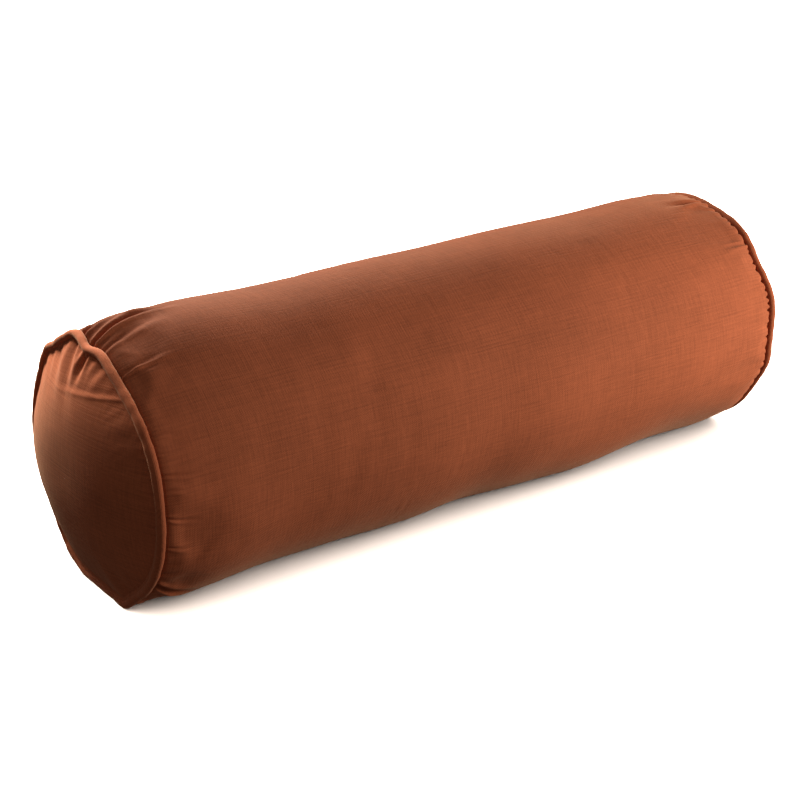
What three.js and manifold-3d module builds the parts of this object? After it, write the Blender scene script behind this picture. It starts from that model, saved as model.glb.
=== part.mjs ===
// Bolster pillow: a round cloth cover with piped ends and a zip along its back, over a lined cushion full of fibre.
// Units are millimetres. +X runs along the bolster, +Z is up, +Y is the back, and the origin is the middle of its
// footprint on the floor.

import * as THREE from "three";
import { mergeVertices } from "three/addons/utils/BufferGeometryUtils.js";
import Module from "manifold-3d";

const wasm = await Module();
wasm.setup();

// ---------------------------------------------------------------------------------------------------------------
// Driving dimensions
// ---------------------------------------------------------------------------------------------------------------

// The stuffed shape
const BARREL_LENGTH = 636; // from one end seam to the other
const BARREL_RADIUS = 110;
const SHOULDER_LENGTH = 60; // where the barrel rounds in to the end seam
const SEAM_DRAW_IN = 7.3; // how much smaller the seam's radius is than the barrel's
const END_BULGE = 25; // how far an end panel stands out past its seam
const BASE_DENT = 5.5; // how far the floor presses the underside in

// Cloth and clearances
const COVER_CLOTH = 0.8;
const LINER_CLOTH = 0.6;
const FIT_GAP = 0.3; // between pieces that touch
const SEAM_ALLOWANCE = 10; // cloth turned in past a stitched seam

// Piping
const PIPING_CORD_RADIUS = 2.4;

// Liner and filling
const LINER_SETBACK = 10; // from the cover's end seam in to the liner's
const LINER_SEAM_DROP = 3; // the liner's seam lies this much inside the piping
const LINER_END_GAP = 2.2; // between the two end panels at the middle
const FILLING_GAP = 0.5;

// Zip
const ZIP_FACET = 9; // facets up from the floor to the zip, at the back
const TAPE_TAIL = 10; // tape that runs on past each end of the opening
const TAPE_WIDTH = 12;
const TAPE_THICKNESS = 0.5;
const TAPE_SPLIT = 1.4; // between the two tapes
const COIL_WIDTH = 2.2;
const COIL_HEIGHT = 1.8;
const COIL_SPLIT = 1.1; // between the two coils
const OPENING_CLEARANCE = 0.9; // between the slider and the cloth at each side
const STOP_INSET = 5; // from an end of the opening in to a stop's outer end
const TOP_STOP_LENGTH = 3;
const BOTTOM_STOP_LENGTH = 4;
const STOP_WALL = 0.9;

// Slider and pull
const SLIDER_LENGTH = 11;
const SLIDER_WIDTH = 8.6;
const SLIDER_WALL = 0.9;
const SLIDER_CORNER = 1.6;
const SLIDER_POST_LENGTH = 3;
const SLIDER_STOP_GAP = 0.5; // left between the slider and a stop at the end of its travel
const CROWN_LENGTH = 8.4;
const CROWN_WIDTH = 1.8;
const CROWN_WALL = 0.9;
const CROWN_HOLLOW = 2.1; // clear height under the crown
const PULL_LENGTH = 25;
const PULL_WIDTH = 7;
const PULL_THICKNESS = 1.2;
const PULL_NECK_WIDTH = 5.4;
const PULL_NECK_LENGTH = 7;
const PULL_HOLE_CLEARANCE = 0.5; // between the crown and the pull's hole

// Care label, a blank ribbon folded in two
const LABEL_LENGTH = 30;
const LABEL_WIDTH = 16;
const LABEL_RIBBON = 0.3;
const LABEL_FACETS_BELOW_ZIP = 2;
const LABEL_INSET = 40; // from the zip's right end

// How finely round shapes are cut into flat facets
const SEGMENTS = 30;
const SHOULDER_STEPS = 4;
const HUG_STEPS = 2; // where the barrel's cloth turns in under the piping
const DOME_STEPS = 5;
const PIPING_SIDES = 9;
const CORD_SIDES = 8;

// ---------------------------------------------------------------------------------------------------------------
// Sizes that follow
// ---------------------------------------------------------------------------------------------------------------

const HALF_LENGTH = BARREL_LENGTH / 2;
const AXIS_HEIGHT = BARREL_RADIUS - BASE_DENT;
const SEAM_RADIUS = BARREL_RADIUS - SEAM_DRAW_IN; // to the middle of the piping
// To the middle of the cloth wrapped round the cord. Its flat facets clear the round cord by the fit gap.
const PIPING_CLOTH_RADIUS = (PIPING_CORD_RADIUS + FIT_GAP + COVER_CLOTH / 2) / Math.cos(Math.PI / PIPING_SIDES);
const PIPING_RADIUS = PIPING_CLOTH_RADIUS + COVER_CLOTH / 2;
const ALLOWANCE_TIP = SEAM_RADIUS - PIPING_RADIUS - SEAM_ALLOWANCE; // radius where the turned-in cloth ends

// Offsets from the seam's plane to the middle of each turned-in layer: the piping's two legs, then a panel's edge.
const LEG_OFFSET = (FIT_GAP + COVER_CLOTH) / 2;
const PANEL_EDGE_OFFSET = LEG_OFFSET + COVER_CLOTH + FIT_GAP;

// Distances from the axis to the flat middle of the zip's facet, from the cloth inwards and outwards.
const HALF_STEP = Math.PI / SEGMENTS;
const facetDistance = (radius) => radius * Math.cos(HALF_STEP);
const radiusOfFacet = (distance) => distance / Math.cos(HALF_STEP);
const TAPE_TOP = facetDistance(BARREL_RADIUS - COVER_CLOTH) - FIT_GAP;
const TAPE_BOTTOM = TAPE_TOP - TAPE_THICKNESS;
const COIL_BOTTOM = TAPE_TOP + FIT_GAP;
const COIL_TOP = COIL_BOTTOM + COIL_HEIGHT;
const SLIDER_TOP = COIL_TOP + FIT_GAP + SLIDER_WALL;
const SLIDER_BOTTOM = TAPE_BOTTOM - FIT_GAP - SLIDER_WALL;
const PULL_AXIS_DISTANCE = SLIDER_TOP + CROWN_HOLLOW / 2;
const LINER_RADIUS = radiusOfFacet(SLIDER_BOTTOM - FIT_GAP);

// Places along the zip
const OPENING_HALF_LENGTH = HALF_LENGTH - SHOULDER_LENGTH - TAPE_TAIL;
const OPENING_WIDTH = SLIDER_WIDTH + 2 * OPENING_CLEARANCE;
const STOP_OUTER_END = OPENING_HALF_LENGTH - STOP_INSET;
const SLIDER_CLOSED = STOP_OUTER_END - TOP_STOP_LENGTH - SLIDER_STOP_GAP - SLIDER_LENGTH / 2;

// ---------------------------------------------------------------------------------------------------------------
// Materials
// ---------------------------------------------------------------------------------------------------------------

const cloth = (color) => new THREE.MeshStandardMaterial({ color, roughness: 0.9, metalness: 0 });
const coverCloth = cloth(0x96502f);
const pipingCloth = cloth(0x8a482b);
const zipTape = cloth(0x7a4029);
const linerCloth = cloth(0xe4dccb);
const cottonCord = cloth(0xe9e2d2);
const fibre = cloth(0xf0e8d4);
const ribbon = cloth(0xf2efe8);
const nylon = new THREE.MeshStandardMaterial({ color: 0x6b3822, roughness: 0.45, metalness: 0 });
const zipMetal = new THREE.MeshStandardMaterial({ color: 0x8c6a45, roughness: 0.35, metalness: 1 });

// ---------------------------------------------------------------------------------------------------------------
// Helpers
// ---------------------------------------------------------------------------------------------------------------

// A point of a profile: its radius from the bolster's axis, and its place along the axis.
const at = (radius, along) => new THREE.Vector2(radius, along);

// The outline of a strip of cloth whose middle follows a path in the profile plane.
function clothOutline(path, thickness) {
  const sides = [[], []];
  path.forEach((point, i) => {
    const before = i > 0 ? point.clone().sub(path[i - 1]).normalize() : null;
    const after = i < path.length - 1 ? path[i + 1].clone().sub(point).normalize() : null;
    let normal;
    let reach = thickness / 2;
    if (point.x === 0) {
      normal = at(0, Math.sign((after ?? before).x)); // cloth crosses the axis square to it
    } else {
      const tangent = (before ?? after).clone().add(after ?? before).normalize();
      normal = at(-tangent.y, tangent.x);
      reach /= normal.dot(at(-(after ?? before).y, (after ?? before).x));
    }
    sides[0].push(point.clone().addScaledVector(normal, reach));
    sides[1].push(point.clone().addScaledVector(normal, -reach));
  });
  return [...sides[0], ...sides[1].reverse()];
}

// Turns an outline round the bolster's axis. Facet middles lie at whole steps from straight down.
function turned(outline) {
  const points = THREE.ShapeUtils.area(outline) < 0 ? [...outline].reverse() : [...outline];
  const opensOnAxis = points[0].x === 0 && points[points.length - 1].x === 0;
  if (!opensOnAxis) points.push(points[0].clone());
  return new THREE.LatheGeometry(points, SEGMENTS, HALF_STEP).rotateZ(-Math.PI / 2);
}

// The barrel's middle-of-cloth radius at a share of the way from where the shoulder starts to the seam.
function shoulderRadius(share) {
  const full = BARREL_RADIUS - COVER_CLOTH / 2;
  return SEAM_RADIUS + (full - SEAM_RADIUS) * Math.sqrt(1 - share * share);
}

// The outermost radius at a place along the bolster, which is what the floor meets.
function outermost(along) {
  const piping = SEAM_RADIUS + PIPING_RADIUS;
  const share = (Math.abs(along) - (HALF_LENGTH - SHOULDER_LENGTH)) / SHOULDER_LENGTH;
  if (share <= 0) return BARREL_RADIUS;
  if (share >= 1) return piping;
  return Math.max(piping, shoulderRadius(share) + COVER_CLOTH / 2);
}

// The floor presses the underside flat. Every layer moves in by the same share, so the gaps between layers stay.
function settled(geometry) {
  const position = geometry.getAttribute("position");
  for (let i = 0; i < position.count; i++) {
    const y = position.getY(i);
    const z = position.getZ(i);
    if (z >= 0) continue;
    const share = Math.min(1, (AXIS_HEIGHT * Math.hypot(y, z)) / (-z * outermost(position.getX(i))));
    position.setY(i, y * share);
    position.setZ(i, z * share);
  }
  geometry.computeVertexNormals();
  return geometry;
}

// A section in the zip's cross plane, run along X from one place to another.
function runAlong(section, from, to) {
  const turn = new THREE.Matrix4().makeBasis(
    new THREE.Vector3(0, 1, 0),
    new THREE.Vector3(0, 0, 1),
    new THREE.Vector3(1, 0, 0),
  );
  return new THREE.ExtrudeGeometry(section, { depth: to - from, bevelEnabled: false, curveSegments: 6 })
    .applyMatrix4(turn)
    .translate(from, 0, 0);
}

// A plate cut from a shape in the XY plane, between two heights.
function plate(shape, low, high) {
  return new THREE.ExtrudeGeometry(shape, { depth: high - low, bevelEnabled: false, curveSegments: 3 })
    .translate(0, 0, low);
}

function block(x0, x1, y0, y1, z0, z1) {
  return new THREE.BoxGeometry(x1 - x0, y1 - y0, z1 - z0)
    .translate((x0 + x1) / 2, (y0 + y1) / 2, (z0 + z1) / 2);
}

function roundedRectangle(x0, x1, y0, y1, corner) {
  const shape = new THREE.Shape();
  shape.absarc(x1 - corner, y0 + corner, corner, -Math.PI / 2, 0);
  shape.absarc(x1 - corner, y1 - corner, corner, 0, Math.PI / 2);
  shape.absarc(x0 + corner, y1 - corner, corner, Math.PI / 2, Math.PI);
  shape.absarc(x0 + corner, y0 + corner, corner, Math.PI, Math.PI * 1.5);
  return shape;
}

// A three.js geometry as a manifold-3d solid, and back.
function solidOf(geometry) {
  const bare = geometry.index ? geometry.toNonIndexed() : geometry.clone();
  bare.deleteAttribute("normal");
  bare.deleteAttribute("uv");
  const merged = mergeVertices(bare, 1e-3);
  return new wasm.Manifold(
    new wasm.Mesh({
      numProp: 3,
      vertProperties: merged.getAttribute("position").array,
      triVerts: new Uint32Array(merged.index.array),
    }),
  );
}

function geometryOf(solid) {
  const mesh = solid.getMesh();
  const geometry = new THREE.BufferGeometry();
  geometry.setAttribute("position", new THREE.BufferAttribute(mesh.vertProperties, 3));
  geometry.setIndex(new THREE.BufferAttribute(mesh.triVerts, 1));
  geometry.computeVertexNormals();
  return geometry;
}

const cut = (geometry, tool) => geometryOf(solidOf(geometry).subtract(solidOf(tool)));
const joined = (...geometries) => geometryOf(geometries.map(solidOf).reduce((all, one) => all.add(one)));

function piece(parent, name, geometry, material) {
  const mesh = new THREE.Mesh(geometry, material);
  mesh.name = name;
  parent.add(mesh);
  return mesh;
}

// ---------------------------------------------------------------------------------------------------------------
// Cover
// ---------------------------------------------------------------------------------------------------------------

// The barrel panel's cloth at its right end, from the start of the shoulder to the edge turned in beside the piping.
function barrelEndPath() {
  const reach = PIPING_RADIUS + FIT_GAP + COVER_CLOTH / 2;
  const turnIn = Math.asin(PANEL_EDGE_OFFSET / reach);
  const hugStep = (Math.PI / 2 - turnIn) / HUG_STEPS;
  const hug = reach / Math.cos(hugStep / 2);
  const start = HALF_LENGTH - SHOULDER_LENGTH;
  const run = HALF_LENGTH - hug - start;
  const path = [];
  for (let i = 0; i <= SHOULDER_STEPS; i++) {
    const share = Math.sin((i / SHOULDER_STEPS) * (Math.PI / 2));
    path.push(at(shoulderRadius(share), start + run * share));
  }
  for (let i = 1; i <= HUG_STEPS; i++) {
    const angle = Math.PI / 2 - i * hugStep;
    path.push(at(SEAM_RADIUS - hug * Math.cos(angle), HALF_LENGTH - hug * Math.sin(angle)));
  }
  path.push(at(ALLOWANCE_TIP, HALF_LENGTH - PANEL_EDGE_OFFSET));
  return path;
}

function coverBarrel() {
  const right = barrelEndPath();
  const left = right.map((p) => at(p.x, -p.y)).reverse();
  const tube = settled(turned(clothOutline([...left, ...right], COVER_CLOTH)));
  const opening = block(
    -OPENING_HALF_LENGTH, OPENING_HALF_LENGTH,
    -OPENING_WIDTH / 2, OPENING_WIDTH / 2,
    LINER_RADIUS, BARREL_RADIUS + COVER_CLOTH,
  );
  return cut(tube, opening.rotateX(ZIP_TURN));
}

// A round end panel: bulging, with its edge folded in behind the piping.
function coverEnd() {
  const foldTop = SEAM_RADIUS - PIPING_RADIUS - FIT_GAP - COVER_CLOTH / 2;
  const foldWidth = 2 * COVER_CLOTH;
  const rim = foldTop - COVER_CLOTH / 2;
  const apex = HALF_LENGTH + END_BULGE - COVER_CLOTH / 2;
  const domeStart = HALF_LENGTH + PANEL_EDGE_OFFSET + foldWidth;
  const path = domePath(rim, domeStart, apex);
  path.push(at(foldTop, HALF_LENGTH + PANEL_EDGE_OFFSET + foldWidth / 2));
  path.push(at(rim, HALF_LENGTH + PANEL_EDGE_OFFSET));
  path.push(at(ALLOWANCE_TIP, HALF_LENGTH + PANEL_EDGE_OFFSET));
  return settled(turned(clothOutline(path, COVER_CLOTH)));
}

// A dome from its apex on the axis down to its rim.
function domePath(rimRadius, rimAlong, apexAlong) {
  const path = [];
  for (let i = 0; i <= DOME_STEPS; i++) {
    const share = Math.sin((i / DOME_STEPS) * (Math.PI / 2));
    path.push(at(rimRadius * share, rimAlong + (apexAlong - rimAlong) * (1 - share ** 2.4)));
  }
  return path;
}

// A bias strip wrapped round the piping cord, with its two legs side by side in the seam.
function pipingStrip() {
  const legTurn = Math.asin(LEG_OFFSET / PIPING_CLOTH_RADIUS);
  const path = [at(ALLOWANCE_TIP, HALF_LENGTH - LEG_OFFSET)];
  for (let i = 0; i <= PIPING_SIDES; i++) {
    const angle = legTurn + (i / PIPING_SIDES) * (2 * Math.PI - 2 * legTurn);
    path.push(
      at(
        SEAM_RADIUS - PIPING_CLOTH_RADIUS * Math.cos(angle),
        HALF_LENGTH - PIPING_CLOTH_RADIUS * Math.sin(angle),
      ),
    );
  }
  path.push(at(ALLOWANCE_TIP, HALF_LENGTH + LEG_OFFSET));
  return settled(turned(clothOutline(path, COVER_CLOTH)));
}

function pipingCord() {
  const circle = new THREE.EllipseCurve(SEAM_RADIUS, HALF_LENGTH, PIPING_CORD_RADIUS, PIPING_CORD_RADIUS);
  return settled(turned(circle.getPoints(CORD_SIDES).slice(0, -1)));
}

// ---------------------------------------------------------------------------------------------------------------
// Zip, modelled in a frame whose +Z points straight out of the cover at the zip
// ---------------------------------------------------------------------------------------------------------------

const ZIP_TURN = ZIP_FACET * 2 * HALF_STEP - Math.PI;

// Points along the faceted inside of the cover, from one distance to another off the zip's middle.
function facetPath(distance, from, to) {
  const corner = distance * Math.tan(HALF_STEP);
  const along = (side) => {
    if (side <= corner) return new THREE.Vector2(side, distance);
    const over = side - corner;
    const slope = 2 * HALF_STEP;
    return new THREE.Vector2(corner + over * Math.cos(slope), distance - over * Math.sin(slope));
  };
  const sides = from < corner && corner < to ? [from, corner, to] : [from, to];
  return sides.map(along);
}

function zipTapeStrip() {
  const from = TAPE_SPLIT / 2;
  const to = from + TAPE_WIDTH;
  const outline = [...facetPath(TAPE_BOTTOM, from, to), ...facetPath(TAPE_TOP, from, to).reverse()];
  const half = OPENING_HALF_LENGTH + TAPE_TAIL;
  return runAlong(new THREE.Shape(outline), -half, half);
}

function zipCoil() {
  const section = new THREE.Shape();
  const middle = (COIL_SPLIT + COIL_WIDTH) / 2;
  section.absellipse(middle, COIL_BOTTOM, COIL_WIDTH / 2, COIL_HEIGHT, 0, Math.PI);
  const from = -STOP_OUTER_END + BOTTOM_STOP_LENGTH + FIT_GAP;
  const to = STOP_OUTER_END - TOP_STOP_LENGTH - FIT_GAP;
  return runAlong(section, from, to);
}

// A stop is clenched round the tape: a jaw above it and a jaw below it, joined between the tapes.
function stopJaws(from, to, webFrom, webTo, jawFrom, jawTo) {
  const above = TAPE_TOP + FIT_GAP;
  const below = TAPE_BOTTOM - FIT_GAP;
  return joined(
    block(from, to, jawFrom, jawTo, above, COIL_TOP),
    block(from, to, jawFrom, jawTo, below - STOP_WALL, below),
    block(from, to, webFrom, webTo, below - STOP_WALL, COIL_TOP),
  );
}

function zipTopStop() {
  const inner = TAPE_SPLIT / 2 - FIT_GAP;
  const to = COIL_SPLIT / 2 + COIL_WIDTH;
  const end = STOP_OUTER_END;
  return stopJaws(end - TOP_STOP_LENGTH, end, inner / 2, inner, inner / 2, to);
}

function zipBottomStop() {
  const web = TAPE_SPLIT / 2 - FIT_GAP;
  const side = COIL_SPLIT / 2 + COIL_WIDTH;
  const end = -STOP_OUTER_END;
  return stopJaws(end, end + BOTTOM_STOP_LENGTH, -web, web, -side, side);
}

// The slider, about its own middle: two plates round the coils, a post between them, and a crown for the pull.
function zipSlider() {
  const half = SLIDER_LENGTH / 2;
  const side = SLIDER_WIDTH / 2;
  const outline = roundedRectangle(-half, half, -side, side, SLIDER_CORNER);
  const topUnderside = SLIDER_TOP - SLIDER_WALL;
  const lipEnd = half - SLIDER_CORNER;
  const lips = [-1, 1].map((way) => {
    const edges = [way * (side - SLIDER_WALL), way * side].sort((a, b) => a - b);
    return block(-lipEnd, lipEnd, ...edges, TAPE_TOP + FIT_GAP, SLIDER_TOP);
  });
  const postSide = COIL_SPLIT / 2 - FIT_GAP;
  const post = block(
    half - SLIDER_CORNER - SLIDER_POST_LENGTH, half - SLIDER_CORNER,
    -postSide, postSide,
    SLIDER_BOTTOM, SLIDER_TOP,
  );
  return joined(
    plate(outline, topUnderside, SLIDER_TOP),
    plate(outline, SLIDER_BOTTOM, SLIDER_BOTTOM + SLIDER_WALL),
    ...lips,
    post,
    crown(),
  );
}

// The arch on top of the slider that holds the pull.
function crown() {
  const arch = new THREE.Shape();
  const outer = CROWN_LENGTH / 2;
  const inner = outer - CROWN_WALL;
  const foot = -SLIDER_WALL / 2; // sunk into the top plate
  arch.moveTo(outer, foot);
  arch.absellipse(0, 0, outer, CROWN_HOLLOW + CROWN_WALL, 0, Math.PI);
  arch.lineTo(-outer, foot);
  arch.lineTo(-inner, foot);
  arch.absellipse(0, 0, inner, CROWN_HOLLOW, Math.PI, 0, true);
  arch.lineTo(inner, foot);
  return new THREE.ExtrudeGeometry(arch, { depth: CROWN_WIDTH, bevelEnabled: false, curveSegments: 6 })
    .rotateX(Math.PI / 2)
    .translate(0, CROWN_WIDTH / 2, SLIDER_TOP);
}

// The pull, about its hinge: a bar under the crown, two arms past it, and a tab that lies back over the coils.
function zipPull() {
  const half = PULL_THICKNESS / 2;
  const neck = PULL_NECK_WIDTH / 2;
  const side = PULL_WIDTH / 2;
  const end = half - PULL_LENGTH;
  const outline = new THREE.Shape();
  outline.moveTo(half, -neck);
  outline.lineTo(half, neck);
  outline.lineTo(-PULL_NECK_LENGTH, neck);
  outline.lineTo(-PULL_NECK_LENGTH - (side - neck), side);
  outline.absarc(end + side, 0, side, Math.PI / 2, Math.PI * 1.5);
  outline.lineTo(-PULL_NECK_LENGTH - (side - neck), -side);
  outline.lineTo(-PULL_NECK_LENGTH, -neck);
  const holeSide = CROWN_WIDTH / 2 + PULL_HOLE_CLEARANCE;
  const holeEnd = -CROWN_LENGTH / 2 - PULL_HOLE_CLEARANCE;
  const hole = new THREE.Path();
  hole.moveTo(-half, -holeSide);
  hole.lineTo(holeEnd, -holeSide);
  hole.lineTo(holeEnd, holeSide);
  hole.lineTo(-half, holeSide);
  hole.closePath();
  outline.holes.push(hole);
  return plate(outline, -half, half);
}

// ---------------------------------------------------------------------------------------------------------------
// Care label: a ribbon folded back on itself against the inside of the cover
// ---------------------------------------------------------------------------------------------------------------

function careLabel() {
  const top = TAPE_TOP - LABEL_RIBBON / 2;
  const under = top - LABEL_RIBBON - FIT_GAP;
  const side = LABEL_WIDTH / 2;
  const path = [at(-side, top), at(side, top), at(side, under), at(-side, under)];
  return runAlong(new THREE.Shape(clothOutline(path, LABEL_RIBBON)), 0, LABEL_LENGTH);
}

// ---------------------------------------------------------------------------------------------------------------
// Inner cushion
// ---------------------------------------------------------------------------------------------------------------

const LINER_SEAM = HALF_LENGTH - LINER_SETBACK;
const LINER_SEAM_RADIUS = SEAM_RADIUS - PIPING_RADIUS - LINER_SEAM_DROP;
const LINER_ALLOWANCE_TIP = LINER_SEAM_RADIUS - SEAM_ALLOWANCE;
const LINER_EDGE_OFFSET = (LINER_CLOTH + FIT_GAP) / 2;
const LINER_APEX = HALF_LENGTH + END_BULGE - COVER_CLOTH - LINER_END_GAP;

function linerBarrel() {
  const full = LINER_RADIUS - LINER_CLOTH / 2;
  const start = HALF_LENGTH - SHOULDER_LENGTH;
  const run = LINER_SEAM - LINER_EDGE_OFFSET - start;
  const right = [];
  for (let i = 0; i <= SHOULDER_STEPS; i++) {
    const share = Math.sin((i / SHOULDER_STEPS) * (Math.PI / 2));
    const radius = LINER_SEAM_RADIUS + (full - LINER_SEAM_RADIUS) * Math.sqrt(1 - share * share);
    right.push(at(radius, start + run * share));
  }
  right.push(at(LINER_ALLOWANCE_TIP, LINER_SEAM - LINER_EDGE_OFFSET));
  const left = right.map((p) => at(p.x, -p.y)).reverse();
  return settled(turned(clothOutline([...left, ...right], LINER_CLOTH)));
}

function linerEnd() {
  const foldWidth = 2 * LINER_CLOTH;
  const edge = LINER_SEAM + LINER_EDGE_OFFSET;
  const rim = LINER_SEAM_RADIUS - LINER_CLOTH;
  const path = domePath(rim, edge + foldWidth, LINER_APEX - LINER_CLOTH / 2);
  path.push(at(LINER_SEAM_RADIUS, edge + foldWidth / 2));
  path.push(at(rim, edge));
  path.push(at(LINER_ALLOWANCE_TIP, edge));
  return settled(turned(clothOutline(path, LINER_CLOTH)));
}

// The packed fibre, which fills the liner up to its turned-in seams.
function filling() {
  const full = LINER_RADIUS - LINER_CLOTH - FILLING_GAP;
  const start = HALF_LENGTH - SHOULDER_LENGTH;
  const throat = LINER_ALLOWANCE_TIP - FILLING_GAP;
  const beforeSeam = LINER_SEAM - LINER_EDGE_OFFSET - LINER_CLOTH / 2 - FILLING_GAP;
  const corner = LINER_SEAM_RADIUS - LINER_CLOTH - FILLING_GAP;
  const right = [];
  for (let i = 0; i <= SHOULDER_STEPS; i++) {
    const share = Math.sin((i / SHOULDER_STEPS) * (Math.PI / 2));
    right.push(at(corner + (full - corner) * Math.sqrt(1 - share * share), start + (beforeSeam - start) * share));
  }
  right.push(at(throat, beforeSeam));
  const apex = LINER_APEX - LINER_CLOTH - FILLING_GAP;
  right.push(...domePath(throat, LINER_SEAM, apex).reverse());
  const left = right.map((p) => at(p.x, -p.y)).reverse();
  return settled(turned([...left, ...right]));
}

// ---------------------------------------------------------------------------------------------------------------
// Assembly
// ---------------------------------------------------------------------------------------------------------------

const bolster = new THREE.Group();

// Everything hangs off the bolster's axis.
const axis = new THREE.Group();
axis.position.z = AXIS_HEIGHT;
bolster.add(axis);

piece(axis, "cover_barrel", coverBarrel(), coverCloth);
for (const [side, turn] of [["left", Math.PI], ["right", 0]]) {
  const end = new THREE.Group();
  end.rotation.z = turn;
  axis.add(end);
  piece(end, `cover_end_${side}`, coverEnd(), coverCloth);
  piece(end, `piping_cloth_${side}`, pipingStrip(), pipingCloth);
  piece(end, `piping_cord_${side}`, pipingCord(), cottonCord);
  piece(end, `liner_end_${side}`, linerEnd(), linerCloth);
}
piece(axis, "liner_barrel", linerBarrel(), linerCloth);
piece(axis, "fibre_filling", filling(), fibre);

const zip = new THREE.Group();
zip.rotation.x = ZIP_TURN;
axis.add(zip);

// The lower tape, coil and stop are as made. The upper ones are the same pieces turned over to the other side.
const otherSide = new THREE.Matrix4().makeScale(1, -1, 1);
for (const [side, mirror] of [["lower", false], ["upper", true]]) {
  const half = new THREE.Group();
  if (mirror) half.applyMatrix4(otherSide);
  zip.add(half);
  piece(half, `zip_tape_${side}`, zipTapeStrip(), zipTape);
  piece(half, `zip_coil_${side}`, zipCoil(), nylon);
  piece(half, `zip_top_stop_${side}`, zipTopStop(), zipMetal);
}
piece(zip, "zip_bottom_stop", zipBottomStop(), zipMetal);
piece(zip, "zip_slider", zipSlider(), zipMetal).position.x = SLIDER_CLOSED;
piece(zip, "zip_pull", zipPull(), zipMetal).position.set(SLIDER_CLOSED, 0, PULL_AXIS_DISTANCE);

const labelSpot = new THREE.Group();
labelSpot.rotation.x = ZIP_TURN - LABEL_FACETS_BELOW_ZIP * 2 * HALF_STEP;
axis.add(labelSpot);
piece(labelSpot, "care_label", careLabel(), ribbon).position.x = OPENING_HALF_LENGTH - LABEL_INSET;

export default bolster;
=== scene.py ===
# %% [markdown]
# # A piped bolster in rust-coloured cotton
# This lesson dresses a finished design. The design comes in as a fixed frame of plain solids at their
# true sizes. Blender adds what makes it look like cloth: gathers, creases, piping, a zip that slides and
# a woven finish. Every length is in metres. X runs along the bolster, Z is up, and the zip is at the
# back, towards +Y.

# %% Load the frame
import math
import random
import time

import bmesh
import bpy
import numpy as np
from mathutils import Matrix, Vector


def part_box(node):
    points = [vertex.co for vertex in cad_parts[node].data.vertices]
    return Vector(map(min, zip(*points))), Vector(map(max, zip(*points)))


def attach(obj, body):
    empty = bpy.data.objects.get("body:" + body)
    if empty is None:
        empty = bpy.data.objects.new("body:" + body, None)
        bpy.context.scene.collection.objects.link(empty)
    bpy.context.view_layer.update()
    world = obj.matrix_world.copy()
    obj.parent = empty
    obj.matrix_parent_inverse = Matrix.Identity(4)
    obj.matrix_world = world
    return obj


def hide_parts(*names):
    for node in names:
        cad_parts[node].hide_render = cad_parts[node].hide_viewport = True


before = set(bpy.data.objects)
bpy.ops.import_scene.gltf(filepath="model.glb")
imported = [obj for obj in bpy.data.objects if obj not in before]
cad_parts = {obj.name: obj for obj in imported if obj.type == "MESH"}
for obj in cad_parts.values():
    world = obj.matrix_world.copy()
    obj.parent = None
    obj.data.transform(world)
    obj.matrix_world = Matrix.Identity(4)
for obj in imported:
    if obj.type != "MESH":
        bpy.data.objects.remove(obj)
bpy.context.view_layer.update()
MM = 0.001

# %% [markdown]
# ## Measures
# Sizes are read off the frame, so a change in the design carries over. The design cuts round shapes into
# flat facets, with the middle of a facet at the very top. That is why the axis lies a little less than
# one radius below the top.

# %% Read the main sizes
FACETS = 30
RING_INSET = 6.4 * MM  # from the barrel's surface in to the middle of the piping
BARREL_SWELL = 0.5 * MM  # how much fuller the stuffed barrel is than the design
SIDE_NAMES = {-1: "left", 1: "right"}

barrel_low, barrel_high = (Vector(corner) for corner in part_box("cover_barrel"))
cord_low, cord_high = (Vector(corner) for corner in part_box("piping_cord_right"))
seam_x = (cord_low.x + cord_high.x) / 2
cad_radius = (barrel_high.y - barrel_low.y) / 2
axis_z = barrel_high.z - cad_radius * math.cos(math.pi / FACETS)
apex_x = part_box("cover_end_right")[1][0]
piping_low, piping_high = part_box("piping_cloth_right")
piping_r = (piping_high[0] - piping_low[0]) / 2
cord_r = (cord_high.x - cord_low.x) / 2
ring_r = cad_radius - RING_INSET
barrel_r = cad_radius + BARREL_SWELL
print(f"seams at x = {seam_x:.3f}, radius {cad_radius:.3f}, axis {axis_z:.4f} up")
print(f"piping radius {piping_r / MM:.1f} mm")


def around(turn, radius):
    """Y and Z of a point from its turn (radians from straight up, towards the front) and its radius."""
    return -radius * np.sin(turn), axis_z + radius * np.cos(turn)


def smooth(low, high, value):
    """0 below low, 1 above high, and a soft S between."""
    share = np.clip((value - low) / (high - low), 0, 1)
    return share * share * (3 - 2 * share)


# %% [markdown]
# ## Resting on the floor
# The weight of the stuffing presses the underside flat. Each height below a few millimetres is squeezed
# towards the floor without ever passing it, which rounds the edge of the flat patch as cloth does.

# %% Press the underside flat
FLOOR_SOFTNESS = 2.5 * MM


def pressed(height, softness=FLOOR_SOFTNESS):
    """A height above the floor after the weight of the stuffing has pressed the cloth down."""
    low = np.minimum(height, softness)
    return np.where(height < softness, softness ** 2 / (2 * softness - low), height)


# %% [markdown]
# ## Building cloth as a grid
# A grid of points is the natural mesh for a strip of cloth. Its columns and rows follow the two thread
# directions, so the same grid can carry a map of the cloth laid flat, in metres, and the weave then keeps
# its scale on every piece. A box or a tube from the menu has no such map.

# %% Helpers that turn a grid of points into a piece
CLOTH_MAP = "cloth"


def added(name, data):
    """A new object in the scene, from its mesh, lamp or lens."""
    thing = bpy.data.objects.new(name, data)
    bpy.context.collection.objects.link(thing)
    return thing


def grid_quads(rows, cols, wrap):
    """The corner numbers of each quad in a grid of points. wrap joins the last column to the first."""
    row = np.arange(rows - 1)[:, None]
    col = np.arange(cols if wrap else cols - 1)[None, :]
    after = (col + 1) % cols
    corners = [row * cols + col, row * cols + after, (row + 1) * cols + after, (row + 1) * cols + col]
    return np.stack(corners, -1).reshape(-1, 4)


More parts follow.
